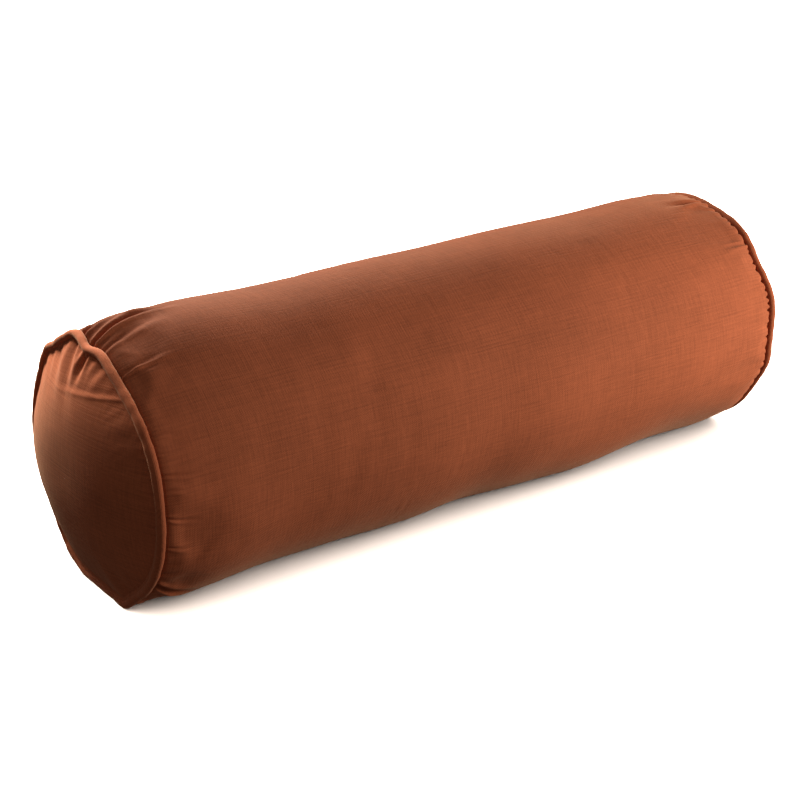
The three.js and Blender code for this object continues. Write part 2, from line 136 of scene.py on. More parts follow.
def quad_mesh(name, points, quads):
    """A smooth-shaded mesh from points and quads."""
    mesh = bpy.data.meshes.new(name)
    mesh.vertices.add(points.size // 3)
    mesh.vertices.foreach_set("co", points.reshape(-1).astype(np.float32))
    mesh.loops.add(quads.size)
    mesh.loops.foreach_set("vertex_index", quads.reshape(-1).astype(np.int32))
    mesh.polygons.add(len(quads))
    mesh.polygons.foreach_set("loop_start", np.arange(0, quads.size, 4, dtype=np.int32))
    mesh.update(calc_edges=True)
    mesh.polygons.foreach_set("use_smooth", np.ones(len(quads), dtype=bool))
    return mesh


def cloth_object(name, points, flat, wrap=False, body="bolster"):
    """A piece from points[row, column], with the map flat[row, column] of the cloth laid flat."""
    rows, cols = points.shape[:2]
    quads = grid_quads(rows, cols, wrap)
    mesh = quad_mesh(name, points, quads)
    flat_at = flat.reshape(-1, 2)[quads.reshape(-1)].reshape(-1, 4, 2)
    if wrap:  # the joining column runs on past the end of the map and not back to its start
        joins = np.tile(np.arange(cols) == cols - 1, rows - 1)
        past = flat[:, -1] + flat[:, -1] - flat[:, -2]
        flat_at[joins, 1] = past[:-1]
        flat_at[joins, 2] = past[1:]
    layer = mesh.uv_layers.new(name=CLOTH_MAP)
    layer.uv.foreach_set("vector", flat_at.reshape(-1).astype(np.float32))
    mesh.validate()
    piece = added(name, mesh)
    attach(piece, body)
    print(f"{name}: {rows} x {cols} points")
    return piece


# %% [markdown]
# ## The two rings of piping
# Piping is a cord in a strip of cloth, caught in the end seam. The seam is never a true circle: stuffing
# pushes it out in places, and where the cloth bunches it kinks. Each ring is a circle with a few soft
# bumps, and every neighbour reads the same ring, so panels and piping stay together.

# %% Shape the rings
RING_FLOOR = 4.0 * MM  # the piping's middle never comes closer to the floor

# turn in degrees, width in degrees, outward push in mm, and push along the bolster towards its middle in mm
LEFT_BUMPS = [
    (-58, 12, -2.4, 0.8),
    (-40, 5, 1.6, 0.8),
    (-32, 5, -1.2, 0.4),
    (-12, 8, 4.2, 3.2),
    (2, 4.5, -1.9, -0.9),
    (13, 6, 1.0, 0.9),
    (33, 12, -2.8, 0.4),
    (66, 14, 1.9, 0.0),
    (110, 16, 0.8, 0.0),
    (140, 12, -0.4, 0.3),
    (159, 7, 4.0, -0.6),
    (178, 10, -1.0, 0.0),
    (-152, 14, 2.2, 0.0),
    (-74, 14, -2.0, 0.6),
    (-122, 28, -7.6, -1.2),
]
RIGHT_BUMPS = [
    (10, 12, -1.4, 0.0),
    (32, 9, 1.8, 0.4),
    (51, 7, -2.0, 0.0),
    (70, 9, 2.6, 0.0),
    (91, 9, -1.4, 0.0),
    (105, 6, 1.0, 0.0),
    (122, 14, -2.6, 0.0),
    (-60, 16, 1.4, 0.0),
    (-120, 18, -1.2, 0.3),
    (-20, 14, 1.0, 0.0),
]


def turn_gap(turn, centre):
    """How far a turn is from another, the short way round."""
    return (turn - centre + math.pi) % (2 * math.pi) - math.pi


def ring(turn, side):
    """X and radius of the piping's middle at each turn. side is -1 for the left ring, 1 for the right."""
    radius = np.full_like(turn, ring_r)
    inward = np.zeros_like(turn)
    for centre, width, push, along in LEFT_BUMPS if side < 0 else RIGHT_BUMPS:
        share = np.exp(-((turn_gap(turn, math.radians(centre)) / math.radians(width)) ** 2))
        radius += push * MM * share
        inward += along * MM * share
    drop = -np.cos(turn)
    lowest = np.where(drop > 0.2, (axis_z - RING_FLOOR) / np.maximum(drop, 0.2), 1.0)
    return side * (seam_x - inward), np.minimum(radius, lowest)


for side, name in SIDE_NAMES.items():
    radius_round = ring(np.linspace(0, 2 * math.pi, 361), side)[1]
    print(f"{name} ring: radius {radius_round.min() / MM:.1f} to {radius_round.max() / MM:.1f} mm")


# %% [markdown]
# ## Creases, folds and lumps
# A stuffed cover shows where it was folded in the packet, and where the filling has shifted. A crease
# that runs round the barrel is a thin ridge with a hollow on each side. A fold that runs along the barrel
# starts deep at the seam and fades. Both are curves through a few chosen points.

# %% Draw creases and folds
def curve_through(known, values, at):
    """A smooth curve through chosen points, read at each place."""
    known, values = np.asarray(known, float), np.asarray(values, float)
    slopes = np.gradient(values, known)
    index = np.clip(np.searchsorted(known, at) - 1, 0, len(known) - 2)
    span = known[index + 1] - known[index]
    share = np.clip((at - known[index]) / span, 0, 1)
    one, two, three = share, share ** 2, share ** 3
    return (
        (2 * three - 3 * two + 1) * values[index]
        + (three - 2 * two + one) * span * slopes[index]
        + (-2 * three + 3 * two) * values[index + 1]
        + (three - two) * span * slopes[index + 1]
    )


def crease_round(turn, x, turns, places, width, height):
    """A ridge round the barrel through places (mm) at turns (degrees), with a hollow on each side."""
    middle = turns[len(turns) // 2]
    degrees = np.degrees(turn_gap(turn, math.radians(middle))) + middle
    line = curve_through(turns, places, degrees) * MM
    fade = smooth(turns[0] - 6, turns[0] + 10, degrees) * (1 - smooth(turns[-1] - 10, turns[-1] + 6, degrees))
    off = (x.reshape(-1, 1) - line.reshape(1, -1)) / (width * MM)
    deep_side = 0.7 * np.exp(-(((off - 2.2) / 1.7) ** 2))
    shallow_side = 0.3 * np.exp(-(((off + 2.4) / 1.9) ** 2))
    shape = np.exp(-off ** 2) - deep_side - shallow_side
    return height * MM * shape * fade.reshape(1, -1)


def fold_along(turn, x, places, turns, width, depth):
    """A valley along the barrel through turns (degrees) at places (mm), between two rounded ridges."""
    line = np.radians(curve_through(places, turns, x / MM))
    length = abs(places[-1] - places[0])
    gone = np.abs(x / MM - places[0]) / length
    fade = np.where(gone < 1.25, np.cos(np.clip(gone / 1.25, 0, 1) * math.pi / 2) ** 1.3, 0).reshape(-1, 1)
    spread = width * MM * (0.7 + 0.9 * np.clip(gone, 0, 1.2)).reshape(-1, 1)
    off = turn_gap(turn.reshape(1, -1), line.reshape(-1, 1)) * barrel_r / spread
    ridges = 0.75 * np.exp(-(((off - 1.7) / 1.1) ** 2)) + 0.5 * np.exp(-(((off + 1.9) / 1.2) ** 2))
    return depth * MM * (ridges - np.exp(-(np.abs(off) ** 1.5))) * fade


def unevenness(turn, x, seed, size, longest, shortest):
    """Soft lumps in the stuffing, as a sum of long waves that close on themselves round the barrel."""
    draw = random.Random(seed)
    height = np.zeros((x.size, turn.size))
    for _ in range(16):
        length = draw.uniform(shortest, longest)
        rounds = draw.choice([0, 1, 2, 3, 4, 5])
        start = draw.uniform(0, 2 * math.pi)
        wave = 2 * math.pi / length * x.reshape(-1, 1) + rounds * turn.reshape(1, -1) + start
        height += np.sin(wave)
    return height * size / 4


# %% [markdown]
# ## Stuffing the cover
# Nobody can draw all the small wrinkles that appear when a cover is stuffed, so a cloth simulation finds
# them. The form is a coarse closed copy of the cover. It is held along both seams, has a little spare
# cloth beside them, as gathered cloth does, and is blown up from inside. What is kept is how far each
# place stands above or below the average at its distance from the seam. The fine panels add that to their
# own shape.

# %% Build the form
FORM_COLUMNS = 184
FORM_ROWS = 150
FORM_END_ROWS = 22
FORM_SLACK = 2.5 * MM  # the form starts this much slimmer, because it swells
SPARE_CLOTH = 0.07
SPARE_REACH = 48 * MM
SHOULDER = 58 * MM
PANEL_RISE = apex_x - seam_x

form_turn = np.linspace(0, 2 * math.pi, FORM_COLUMNS, endpoint=False)
form_barrel_x = np.linspace(-seam_x, seam_x, FORM_ROWS + 2)[1:-1]
form_share = np.linspace(0.04, 1, FORM_END_ROWS)


def form_points():
    """Rows of points from the middle of the left end, over the barrel, to the middle of the right end."""
    ends = {}
    for side in (-1, 1):
        ring_x, ring_radius = ring(form_turn, side)
        share = form_share.reshape(-1, 1)
        x = ring_x + side * (PANEL_RISE - 3 * MM) * (1 - share ** 2.4)
        ends[side] = x, share * ring_radius
    away = seam_x - np.abs(form_barrel_x)
    bow = np.sqrt(1 - np.clip(1 - away / SHOULDER, 0, 1) ** 2.3).reshape(-1, 1)
    edge = np.where(form_barrel_x.reshape(-1, 1) < 0, ends[-1][1][-1], ends[1][1][-1])
    radius = edge + (barrel_r - FORM_SLACK - edge) * bow
    radius = radius + unevenness(form_turn, form_barrel_x, 47, 0.5 * MM, 0.12, 0.025)
    x = form_barrel_x.reshape(-1, 1) + 0 * radius
    all_x = np.concatenate([ends[-1][0], x, ends[1][0][::-1]])
    all_radius = np.concatenate([ends[-1][1], radius, ends[1][1][::-1]])
    y, z = around(form_turn.reshape(1, -1), all_radius)
    return np.stack([all_x, y, z], -1)


form_start = form_points()
print(f"form: {form_start.shape[0]} rows of {form_start.shape[1]} points")

# %% Blow the form up
STUFFING_FRAMES = 20


def weight_group(form, name, weights):
    """A vertex group from one weight for each vertex."""
    group = form.vertex_groups.new(name=name)
    for index in np.flatnonzero(weights > 0.001):
        group.add([int(index)], float(weights[index]), "REPLACE")


def stuffed(points):
    """Points of the form after its simulation."""
    rows, cols = points.shape[:2]
    quads = grid_quads(rows, cols, True)
    mesh = quad_mesh("form", points, quads)
    shell = bmesh.new()
    shell.from_mesh(mesh)
    shell.verts.ensure_lookup_table()
    shell.faces.new([shell.verts[i] for i in range(cols)])
    shell.faces.new([shell.verts[i] for i in reversed(range((rows - 1) * cols, rows * cols))])
    bmesh.ops.recalc_face_normals(shell, faces=shell.faces)
    shell.to_mesh(mesh)
    shell.free()
    form = added("form", mesh)
    seam_row = np.zeros((rows, cols))
    seam_row[FORM_END_ROWS - 1] = 1
    seam_row[-FORM_END_ROWS] = 1
    weight_group(form, "seams", seam_row.reshape(-1))
    from_seam = np.abs(np.abs(points[..., 0]) - seam_x)
    fitted = np.clip(from_seam / SPARE_REACH, 0, 1)
    weight_group(form, "fitted", fitted.reshape(-1))
    cloth = form.modifiers.new("stuffing", "CLOTH")
    settings = cloth.settings
    settings.quality = 4
    settings.mass = 0.3
    settings.tension_stiffness = 15
    settings.compression_stiffness = 15
    settings.shear_stiffness = 5
    settings.bending_stiffness = 0.05
    settings.use_pressure = True
    settings.uniform_pressure_force = 4
    settings.vertex_group_mass = "seams"
    settings.vertex_group_shrink = "fitted"
    settings.shrink_min = -SPARE_CLOTH
    settings.shrink_max = 0
    settings.effector_weights.gravity = 0
    cloth.collision_settings.use_collision = False
    scene = bpy.context.scene
    for number in range(1, STUFFING_FRAMES + 1):
        scene.frame_set(number)
    shape = form.evaluated_get(bpy.context.evaluated_depsgraph_get()).to_mesh()
    result = np.empty(rows * cols * 3, dtype=np.float32)
    shape.vertices.foreach_get("co", result)
    scene.frame_set(1)
    bpy.data.objects.remove(form)
    bpy.data.meshes.remove(mesh)
    return result.astype(float).reshape(rows, cols, 3)


# %% Keep the wrinkles
WRINKLE_CAP = 2.6 * MM


def limited(height):
    """Heights with their average round each row taken off, and none larger than the cap."""
    height = height - height.mean(axis=1, keepdims=True)
    return WRINKLE_CAP * np.tanh(height / WRINKLE_CAP)


began = time.time()
form_end = stuffed(form_start)
form_move = form_end - form_start
outward = np.stack([0 * form_turn, -np.sin(form_turn), np.cos(form_turn)], -1)[None]
barrel_rows = slice(FORM_END_ROWS, FORM_END_ROWS + FORM_ROWS)
barrel_wrinkles = limited((form_move[barrel_rows] * outward).sum(-1))
end_wrinkles = {
    -1: limited(-form_move[:FORM_END_ROWS, :, 0]),
    1: limited(form_move[-FORM_END_ROWS:, :, 0])[::-1],
}
print(f"stuffing took {time.time() - began:.0f} s")
print(f"wrinkles up to {np.abs(barrel_wrinkles).max() / MM:.1f} mm")


def spline_parts(share):
    """How much each of four neighbours counts, so that a curve through them has no corners."""
    two, three = share ** 2, share ** 3
    return (1 - share) ** 3 / 6, (3 * three - 6 * two + 4) / 6, (3 * (share + two - three) + 1) / 6, three / 6


def between_rows(table, row, turn):
    """Reads a table of heights at fractions of a row and at any turn. row and turn have one shape."""
    rows, cols = table.shape
    row = np.clip(row, 0, rows - 1)
    col = (turn / (2 * math.pi) % 1) * cols
    low_row, low_col = np.floor(row).astype(int), np.floor(col).astype(int)
    height = np.zeros_like(row)
    for down, row_part in enumerate(spline_parts(row - low_row)):
        line = np.clip(low_row + down - 1, 0, rows - 1)
        for over, col_part in enumerate(spline_parts(col - low_col)):
            height += row_part * col_part * table[line, (low_col + over - 1) % cols]
    return height


# %% [markdown]
# ## Gathers
# The barrel's cloth is a little longer than the ring it is sewn to. The spare length is eased in as small
# gathers: a sharp valley at the seam between two rounded scallops, fading out along the barrel. They are
# finer than the simulated form can hold, so they are drawn. No two are alike: each gets its own place,
# depth, reach and lean from a seeded draw.

# %% Draw the gathers beside a seam
GATHER_REACH = 0.22  # radians to each side that one gather can touch

# seed, number of gathers, depth, reach along the barrel, and how much the depths differ
LEFT_GATHERS = (3, 44, 1.0 * MM, 7 * MM, 0.95)
RIGHT_GATHERS = (8, 84, 1.7 * MM, 7 * MM, 0.6)


def gathers(turn, away, seed, count, depth, reach, spread_of_depths):
    """Height of the cloth beside a gathered seam, at a row of turns and a column of distances from it."""
    draw = random.Random(seed)
    height = np.zeros((away.size, turn.size))
    away = away.reshape(-1, 1)
    step = 2 * math.pi / count
    for index in range(count):
        place = (index + draw.uniform(-0.4, 0.4)) * step
        lean = draw.uniform(-0.3, 0.3)
        this_depth = depth * (1 - spread_of_depths * draw.random() ** 0.6)
        this_reach = reach * (0.4 + 1.5 * draw.random() ** 2)
        width = draw.uniform(0.9, 1.8) * MM
        near = np.abs(turn_gap(turn, place)) < GATHER_REACH
        offset = turn_gap(turn[near], place).reshape(1, -1) * ring_r - lean * away
        spread = width + 0.16 * away
        fade = np.exp(-((np.maximum(away, 0) / this_reach) ** 1.3))
        valley = np.exp(-(np.abs(offset / spread) ** 1.4))
        shoulder = np.exp(-((np.abs(offset) - 2.4 * spread) / (1.5 * spread)) ** 2)
        height[:, near] += this_depth * fade * (0.32 * shoulder - valley)
    return height


print(f"gathers: {LEFT_GATHERS[1]} at the left seam, {RIGHT_GATHERS[1]} at the right seam")


# %% [markdown]
# ## The barrel panel
# One piece of cloth goes round the barrel and meets itself at the back. Along the middle of that meeting
# line both edges fold under and leave a slot for the zip, and past the slot they are simply sewn
# together. The grid is finer near the two gathered seams, where the small shapes are.

# %% Lay out the barrel's rows and columns
stop_low, stop_high = (Vector(corner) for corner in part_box("zip_bottom_stop"))
stop_middle = (stop_low + stop_high) / 2
zip_turn = math.atan2(-stop_middle.y, stop_middle.z - axis_z)
opening_half = -stop_low.x + 5 * MM
SLOT_HALF = 5.2 * MM  # from the zip's middle to a folded edge
EDGE_ROLL = 0.8 * MM  # radius of a folded edge
HEM_DEPTH = 7 * MM  # how far the cloth goes back under itself
print(f"zip {math.degrees(zip_turn):.1f} degrees from the top, opening {2 * opening_half:.3f} long")

BARREL_COLUMNS = 620
LEFT_GAP = 0.3 * MM  # between the piping and the barrel's cloth
RIGHT_GAP = 2.4 * MM
LEFT_STAND = -0.2 * MM  # how far the barrel's cloth stands out past the piping's middle
RIGHT_STAND = 2.2 * MM
WRINKLES_KEPT = 0.65  # share of the simulated wrinkles that the barrel takes on


def spaced(stop, fine, coarse, growth):
    """Distances from 0 to stop that start fine and grow to coarse."""
    places, step = [0.0], fine
    while places[-1] < stop:
        places.append(places[-1] + step)
        step = min(step * growth, coarse)
    return np.array(places) * stop / places[-1]


left_end = seam_x - piping_r - LEFT_GAP
right_end = seam_x - piping_r - RIGHT_GAP
left_rows = left_end - spaced(left_end, 0.9 * MM, 3.4 * MM, 1.035)
right_rows = right_end - spaced(right_end, 0.8 * MM, 3.4 * MM, 1.035)
barrel_x = np.concatenate([-left_rows[:-1], right_rows[::-1]])
print(f"barrel rows: {barrel_x.size}")

# %% Raise the barrel's surface
FOLDS = [  # places along the barrel (mm), turns (degrees), width and depth (mm)
    ([-318, -290, -256], [-7, -15, -16], 3.3, 4.8),
    ([-317, -286, -246], [3, -4, -9], 2.9, 6.2),
    ([-317, -292, -262], [11, 6, 2], 2.6, 1.5),
    ([-318, -296, -270], [-20, -25, -27], 2.8, 1.5),
    ([-320, -296, -272], [28, 26, 25], 1.5, -1.5),
    ([-315, -307, -296], [56, 56, 57], 1.2, 0.9),
    ([-315, -308, -298], [63, 64, 64], 1.1, 0.7),
    ([-315, -305, -290], [72, 73, 74], 1.2, 1.2),
    ([-315, -307, -297], [79, 79, 80], 1.1, 0.8),
    ([-316, -304, -290], [90, 92, 93], 1.2, 1.3),
    ([-315, -306, -296], [104, 105, 106], 1.2, 1.0),
    ([-318, -300, -278], [127, 135, 141], 3.0, 4.0),
    ([-318, -302, -280], [150, 156, 160], 3.0, 2.4),
    ([-318, -300, -280], [-120, -124, -126], 2.6, 2.2),
    ([304, 290, 268], [17, 7, -3], 2.6, 2.4),
    ([306, 296, 280], [40, 41, 43], 1.6, 1.2),
    ([306, 294, 276], [-40, -46, -50], 2.4, 2.0),
]
CREASES = [  # turns (degrees), places along the barrel (mm), width and height (mm)
    ([17, 51, 78, 98, 125], [-43, -42, -39, -44, -52], 1.3, 0.40),
    ([101, 120, 138], [-87, -91, -95], 1.4, 0.45),
    ([12, 35, 59, 85, 110], [152, 155, 146, 140, 142], 1.3, 0.38),
    ([20, 45, 70, 95], [163, 164, 156, 151], 1.2, 0.28),
    ([-60, -30, 0], [60, 72, 76], 1.5, 0.35),
    ([-130, -105, -88], [-160, -150, -146], 1.5, 0.4),
    ([-150, -120, -95], [205, 214, 216], 1.5, 0.35),
]
BULGES = [  # place (mm), turn (degrees), reach along (mm), reach round (degrees), height (mm)
    (-185, 138, 55, 30, -2.6),
    (-285, 145, 24, 24, 1.6),
    (-5, 142, 36, 26, -2.6),
    (110, 138, 55, 30, 3.2),
    (218, 138, 44, 30, -3.0),
    (-240, 2, 50, 44, 3.4),
    (-255, 112, 34, 36, 3.0),
    (60, 4, 90, 40, 0.8),
]


def barrel_height(turn, x):
    """Radius of the barrel's cloth at each row and column, with its lumps, gathers, folds and creases."""
    away_left = x + left_end
    away_right = right_end - x
    away = np.minimum(away_left, away_right)
    share = np.clip(1 - away / SHOULDER, 0, 1)
    left_edge = ring(turn, -1)[1].reshape(1, -1) + LEFT_STAND
    right_edge = ring(turn, 1)[1].reshape(1, -1) + RIGHT_STAND
    edge = np.where(x.reshape(-1, 1) < 0, left_edge, right_edge)
    bow = np.sqrt(1 - share ** 2.3).reshape(-1, 1)
    radius = edge + (barrel_r - edge) * bow
    fuller_top = 1.2 * MM * np.maximum(np.cos(turn), 0).reshape(1, -1) * (1 - share).reshape(-1, 1)
    lumps = unevenness(turn, x, 11, 0.5 * MM, 0.24, 0.09)
    for place, centre, along, sideways, height in BULGES:
        over_x = np.exp(-(((x / MM - place) / along) ** 2)).reshape(-1, 1)
        off_centre = turn_gap(turn, math.radians(centre)) / math.radians(sideways)
        over_turn = np.exp(-(off_centre ** 2)).reshape(1, -1)
        lumps = lumps + height * MM * over_x * over_turn
    lumps = fuller_top + lumps * smooth(0, 50 * MM, away).reshape(-1, 1)
    row = (x - form_barrel_x[0]) / (form_barrel_x[1] - form_barrel_x[0])
    row_here = row.reshape(-1, 1) + 0 * radius
    turn_here = turn.reshape(1, -1) + 0 * radius
    wrinkles = between_rows(barrel_wrinkles, row_here, turn_here)
    wrinkles = WRINKLES_KEPT * wrinkles * smooth(0, 16 * MM, away).reshape(-1, 1)
    from_zip = np.abs(turn_gap(turn, zip_turn)).reshape(1, -1) * barrel_r
    beside_slot = (1 - smooth(opening_half - 5 * MM, opening_half + 20 * MM, np.abs(x))).reshape(-1, 1)
    calm = 1 - beside_slot * (1 - smooth(8 * MM, 34 * MM, from_zip))
    radius = radius + calm * (lumps + wrinkles)
    radius = radius + gathers(turn, away_left, *LEFT_GATHERS)
    radius = radius + gathers(turn, away_right, *RIGHT_GATHERS)
    for places, turns, width, depth in FOLDS:
        radius = radius + fold_along(turn, x, places, turns, width, depth)
    for turns, places, width, height in CREASES:
        radius = radius + crease_round(turn, x, turns, places, width, height)
    return radius


slot_share = 1 - smooth(opening_half - 1.0 * MM, opening_half + 7 * MM, np.abs(barrel_x))
slot_angle = ((SLOT_HALF - EDGE_ROLL) * slot_share + 1.05 * EDGE_ROLL) / barrel_r
inner_turn = np.linspace(0, 1, BARREL_COLUMNS)
# Each row spreads its columns from one folded edge round to the other, so they open up round the slot.
even_radius = barrel_height(zip_turn + 2 * math.pi * inner_turn, barrel_x)
start = slot_angle.reshape(-1, 1)
barrel_turn = zip_turn + start + (2 * math.pi - 2 * start) * inner_turn.reshape(1, -1)
from_edge = np.minimum(inner_turn, 1 - inner_turn) * 2 * math.pi * barrel_r
seam_valley = 1.3 * MM * np.exp(-((from_edge / (2.2 * MM)) ** 2))
even_radius = even_radius - seam_valley.reshape(1, -1) * (1 - 0.7 * slot_share.reshape(-1, 1))
print(f"barrel surface: radius {even_radius.min() / MM:.1f} to {even_radius.max() / MM:.1f} mm")

# %% Roll the barrel's ends into the seams and fold its long edges under
TUCK_ROWS = 7
EDGE_COLUMNS = 7
PULL_REACH = 60 * MM  # how far from a seam the ring still pulls the rows along


def tucked_ends(x, turn, radius):
    """Adds rows that roll down beside the piping, and lets gathers and ring pull the end rows along."""
    full_x = np.repeat(x.reshape(-1, 1), turn.shape[1], 1)
    near_left = np.clip(1 - (x + left_end) / PULL_REACH, 0, 1).reshape(-1, 1) ** 2
    near_right = np.clip(1 - (right_end - x) / PULL_REACH, 0, 1).reshape(-1, 1) ** 2
    shift = {side: ring(turn[0 if side < 0 else -1], side)[0] - side * seam_x for side in (-1, 1)}
    full_x = full_x + near_left * shift[-1].reshape(1, -1) + near_right * shift[1].reshape(1, -1)
    scallop = gathers(turn[-1], np.zeros(1), *RIGHT_GATHERS)
    last_rows = np.exp(-(right_end - x) / (4 * MM)).reshape(-1, 1)
    full_x = full_x + 0.9 * np.maximum(scallop, -2.2 * MM) * last_rows
    ends = {}
    for side, row, across, drop in ((-1, 0, 0.9 * MM, 7 * MM), (1, -1, 1.9 * MM, 8 * MM)):
        part = np.linspace(0, 1, TUCK_ROWS + 1)[1:].reshape(-1, 1)
        new_x = full_x[row] + side * across * np.sin(part * math.pi / 2)
        new_radius = radius[row] - 0.25 * drop * (1 - np.cos(part * math.pi / 2)) - 0.75 * drop * part ** 2
        order = slice(None, None, -1) if side < 0 else slice(None)
        ends[side] = new_x[order], np.repeat(turn[row][None], TUCK_ROWS, 0), new_radius[order]
    middle = full_x, turn, radius
    return [np.concatenate([ends[-1][i], middle[i], ends[1][i]]) for i in range(3)]


def folded_edge(x, turn, radius, way):
    """Columns that roll a long edge of the barrel under, next to the zip, from the edge inwards."""
    columns = []
    for step in range(1, EDGE_COLUMNS):
        roll = math.pi * step / (EDGE_COLUMNS - 1)
        across, down = EDGE_ROLL * math.sin(roll), EDGE_ROLL * (1 - math.cos(roll))
        columns.append((x, turn + way * across / barrel_r, radius - down))
    columns.append((x, turn - way * HEM_DEPTH / barrel_r, radius - 2 * EDGE_ROLL))
    return columns


grid = tucked_ends(barrel_x, barrel_turn, even_radius)
first_edge = folded_edge(*(part[:, 0] for part in grid), -1)[::-1]
last_edge = folded_edge(*(part[:, -1] for part in grid), 1)
grid_x, grid_turn, grid_radius = (
    np.column_stack([column[i] for column in first_edge] + [part] + [column[i] for column in last_edge])
    for i, part in enumerate(grid)
)
print(f"barrel grid: {grid_x.shape[0]} rows, {grid_x.shape[1]} columns")

# %% Make the barrel's mesh
barrel_y, barrel_z = around(grid_turn, grid_radius)
barrel_points = np.stack([grid_x, barrel_y, pressed(barrel_z)], -1)
barrel_flat = np.stack([grid_x, grid_turn * barrel_r], -1)
cover_barrel = cloth_object("cover_barrel_cloth", barrel_points, barrel_flat)
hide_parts("cover_barrel")

# %% [markdown]
# ## The end panels
# Each end is a disc of cloth that the stuffing pushes out into a low dome with full shoulders. Beside the
# piping it starts a little lower than the piping stands, which leaves a groove all round. Its wrinkles
# come from the same simulation, and where the ring kinks at the top, pleats run down from the kink.

# %% Shape an end panel
DOME_RINGS = 72
DOME_COLUMNS = 480
PLEATS = [  # centre and lean in degrees, width and depth in mm, and reach as a share of the radius
    (-25, 10, 4.4, 1.6, 0.20),
    (-10, 12, 4.0, 3.0, 0.24),
    (3, -3, 2.6, 4.0, 0.13),
    (16, -12, 3.2, 1.2, 0.12),
    (-44, 4, 4.0, 0.9, 0.16),
    (62, -8, 1.8, 0.8, 0.06),
    (96, -4, 1.6, 0.8, 0.06),
]


def pleat(turn, share, centre, lean, width, depth, reach):
    """A valley that runs from the ring towards the middle of an end panel."""
    inward = 1 - share
    line = math.radians(centre) + math.radians(lean) * inward
    off = turn_gap(turn, line) * ring_r * share / (width * MM * (1 + 2 * inward))
    fade = np.exp(-((inward / reach) ** 1.6))
    return depth * MM * fade * (0.6 * np.exp(-((np.abs(off) - 1.9) ** 2)) - np.exp(-(np.abs(off) ** 1.5)))


RING_HOLD = 9  # how soon the panel forgets the ring's bumps on its way in to the middle
RIM_INSET = 0.86  # from the piping's middle in to the panel's rim, in radii of the piping
FINE_PLEATS = 34
PACKET_FOLD = 70 * MM  # height of the flat fold above the axis


def end_shape(side, turn, share):
    """Distance out from the middle of the bolster, and radius, of an end panel."""
    ring_x, ring_radius = ring(turn, side)
    rim = ring_radius - RIM_INSET * piping_r
    foot = 0.1 * piping_r
    full_back = np.exp(-((turn_gap(turn, math.radians(-110)) / math.radians(50)) ** 2))
    fullness = (2.35 + 0.4 * np.cos(turn) + 0.75 * full_back).reshape(1, -1)
    out = seam_x + foot + (np.abs(ring_x) - seam_x) * share ** RING_HOLD
    out = out + (PANEL_RISE - foot + 1.0 * MM) * (1 - share ** fullness)
    row = (share - form_share[0]) / (form_share[1] - form_share[0])
    wrinkles = between_rows(end_wrinkles[side], row + 0 * out, turn.reshape(1, -1) + 0 * out)
    out = out + 0.2 * wrinkles * smooth(0.62, 0.92, share) * (1 - smooth(0.94, 1, share))
    draw = random.Random(21 if side < 0 else 34)
    for index in range(FINE_PLEATS):
        place = (index + draw.uniform(-0.4, 0.4)) * 360 / FINE_PLEATS
        deep = 0.05 + 0.45 * draw.random() ** 3
        out = out + pleat(turn, share, place, draw.uniform(-6, 6), 1.7, deep, draw.uniform(0.04, 0.09))
    if side < 0:
        for centre, lean, width, deep, reach in PLEATS:
            out = out + pleat(turn, share, centre, lean, width, deep, reach)
    rim_middle = np.mean(rim)
    radius = share * (rim_middle + (rim - rim_middle).reshape(1, -1) * share ** 3)
    height = radius * np.cos(turn).reshape(1, -1)
    depth = -radius * np.sin(turn).reshape(1, -1)
    if side < 0:  # the cloth was folded flat here before it was stuffed
        line = PACKET_FOLD - 0.15 * depth
        off = (height - line) / (1.4 * MM)
        window = smooth(-0.088, -0.06, depth) * (1 - smooth(-0.005, 0.035, depth))
        out = out + 0.6 * MM * window * (np.exp(-off ** 2) - 0.7 * np.exp(-(((off - 2.4) / 2.0) ** 2)))
    swell = np.sin(31 * height + 1.3) * np.sin(27 * depth + 0.4 * side) * 1.0 * MM
    return out + swell * (1 - share ** 4), radius


def end_panel(side):
    """The domed cloth of one end, with its edge tucked in behind the piping."""
    turn = np.linspace(0, 2 * math.pi, DOME_COLUMNS, endpoint=False)
    share = np.sin(np.linspace(0, 1, DOME_RINGS) * math.pi / 2).reshape(-1, 1)
    share[0] = 0.002
    out, radius = end_shape(side, turn, share)
    tuck = np.linspace(0, 1, 6)[1:].reshape(-1, 1)
    flange_side = np.abs(ring(turn, side)[0]) + 1.0 * MM
    radius = np.concatenate([radius, radius[-1] - 6 * MM * tuck])
    out = np.concatenate([out, out[-1] + (np.minimum(flange_side, out[-1]) - out[-1]) * tuck])
    y, z = around(turn.reshape(1, -1), radius)
    points = np.stack([side * out, y, pressed(z)], -1)
    flat = np.stack([y, z + 0 * out], -1)
    if side > 0:  # so that the panel's outside faces out
        points, flat = points[::-1], flat[::-1]
    name = SIDE_NAMES[side]
    panel = cloth_object(f"cover_end_{name}_cloth", points, flat, wrap=True)
    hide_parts(f"cover_end_{name}")
    return panel


end_panels = [end_panel(-1), end_panel(1)]

# %% [markdown]
# ## Piping
# Piping is a cotton cord inside a strip of cloth. The strip is cut on the bias, so its threads run
# diagonally, and a narrow flange of it goes down into the seam. Both are swept round the ring as grids. A
# curve with a round bevel would also give a tube, but no flange, no bias map, and no place to overlap the
# strip's two ends.

# %% Sweep the piping's cloth
PIPING_STEPS = 560
FLANGE = 7 * MM
LAP_TURN = math.radians(208)  # where the strip's two ends overlap


def piping_thickness(turn, seed):
    """How much thicker or thinner than average the piping is at each turn."""
    draw = random.Random(seed)
    thick = np.ones_like(turn)
    for _ in range(14):
        thick += 0.012 * np.sin(draw.randint(3, 60) * turn + draw.uniform(0, 6.28))
    lap = np.abs(turn_gap(turn, LAP_TURN)) * ring_r
    return thick + 0.10 * (1 - smooth(6 * MM, 7 * MM, lap))


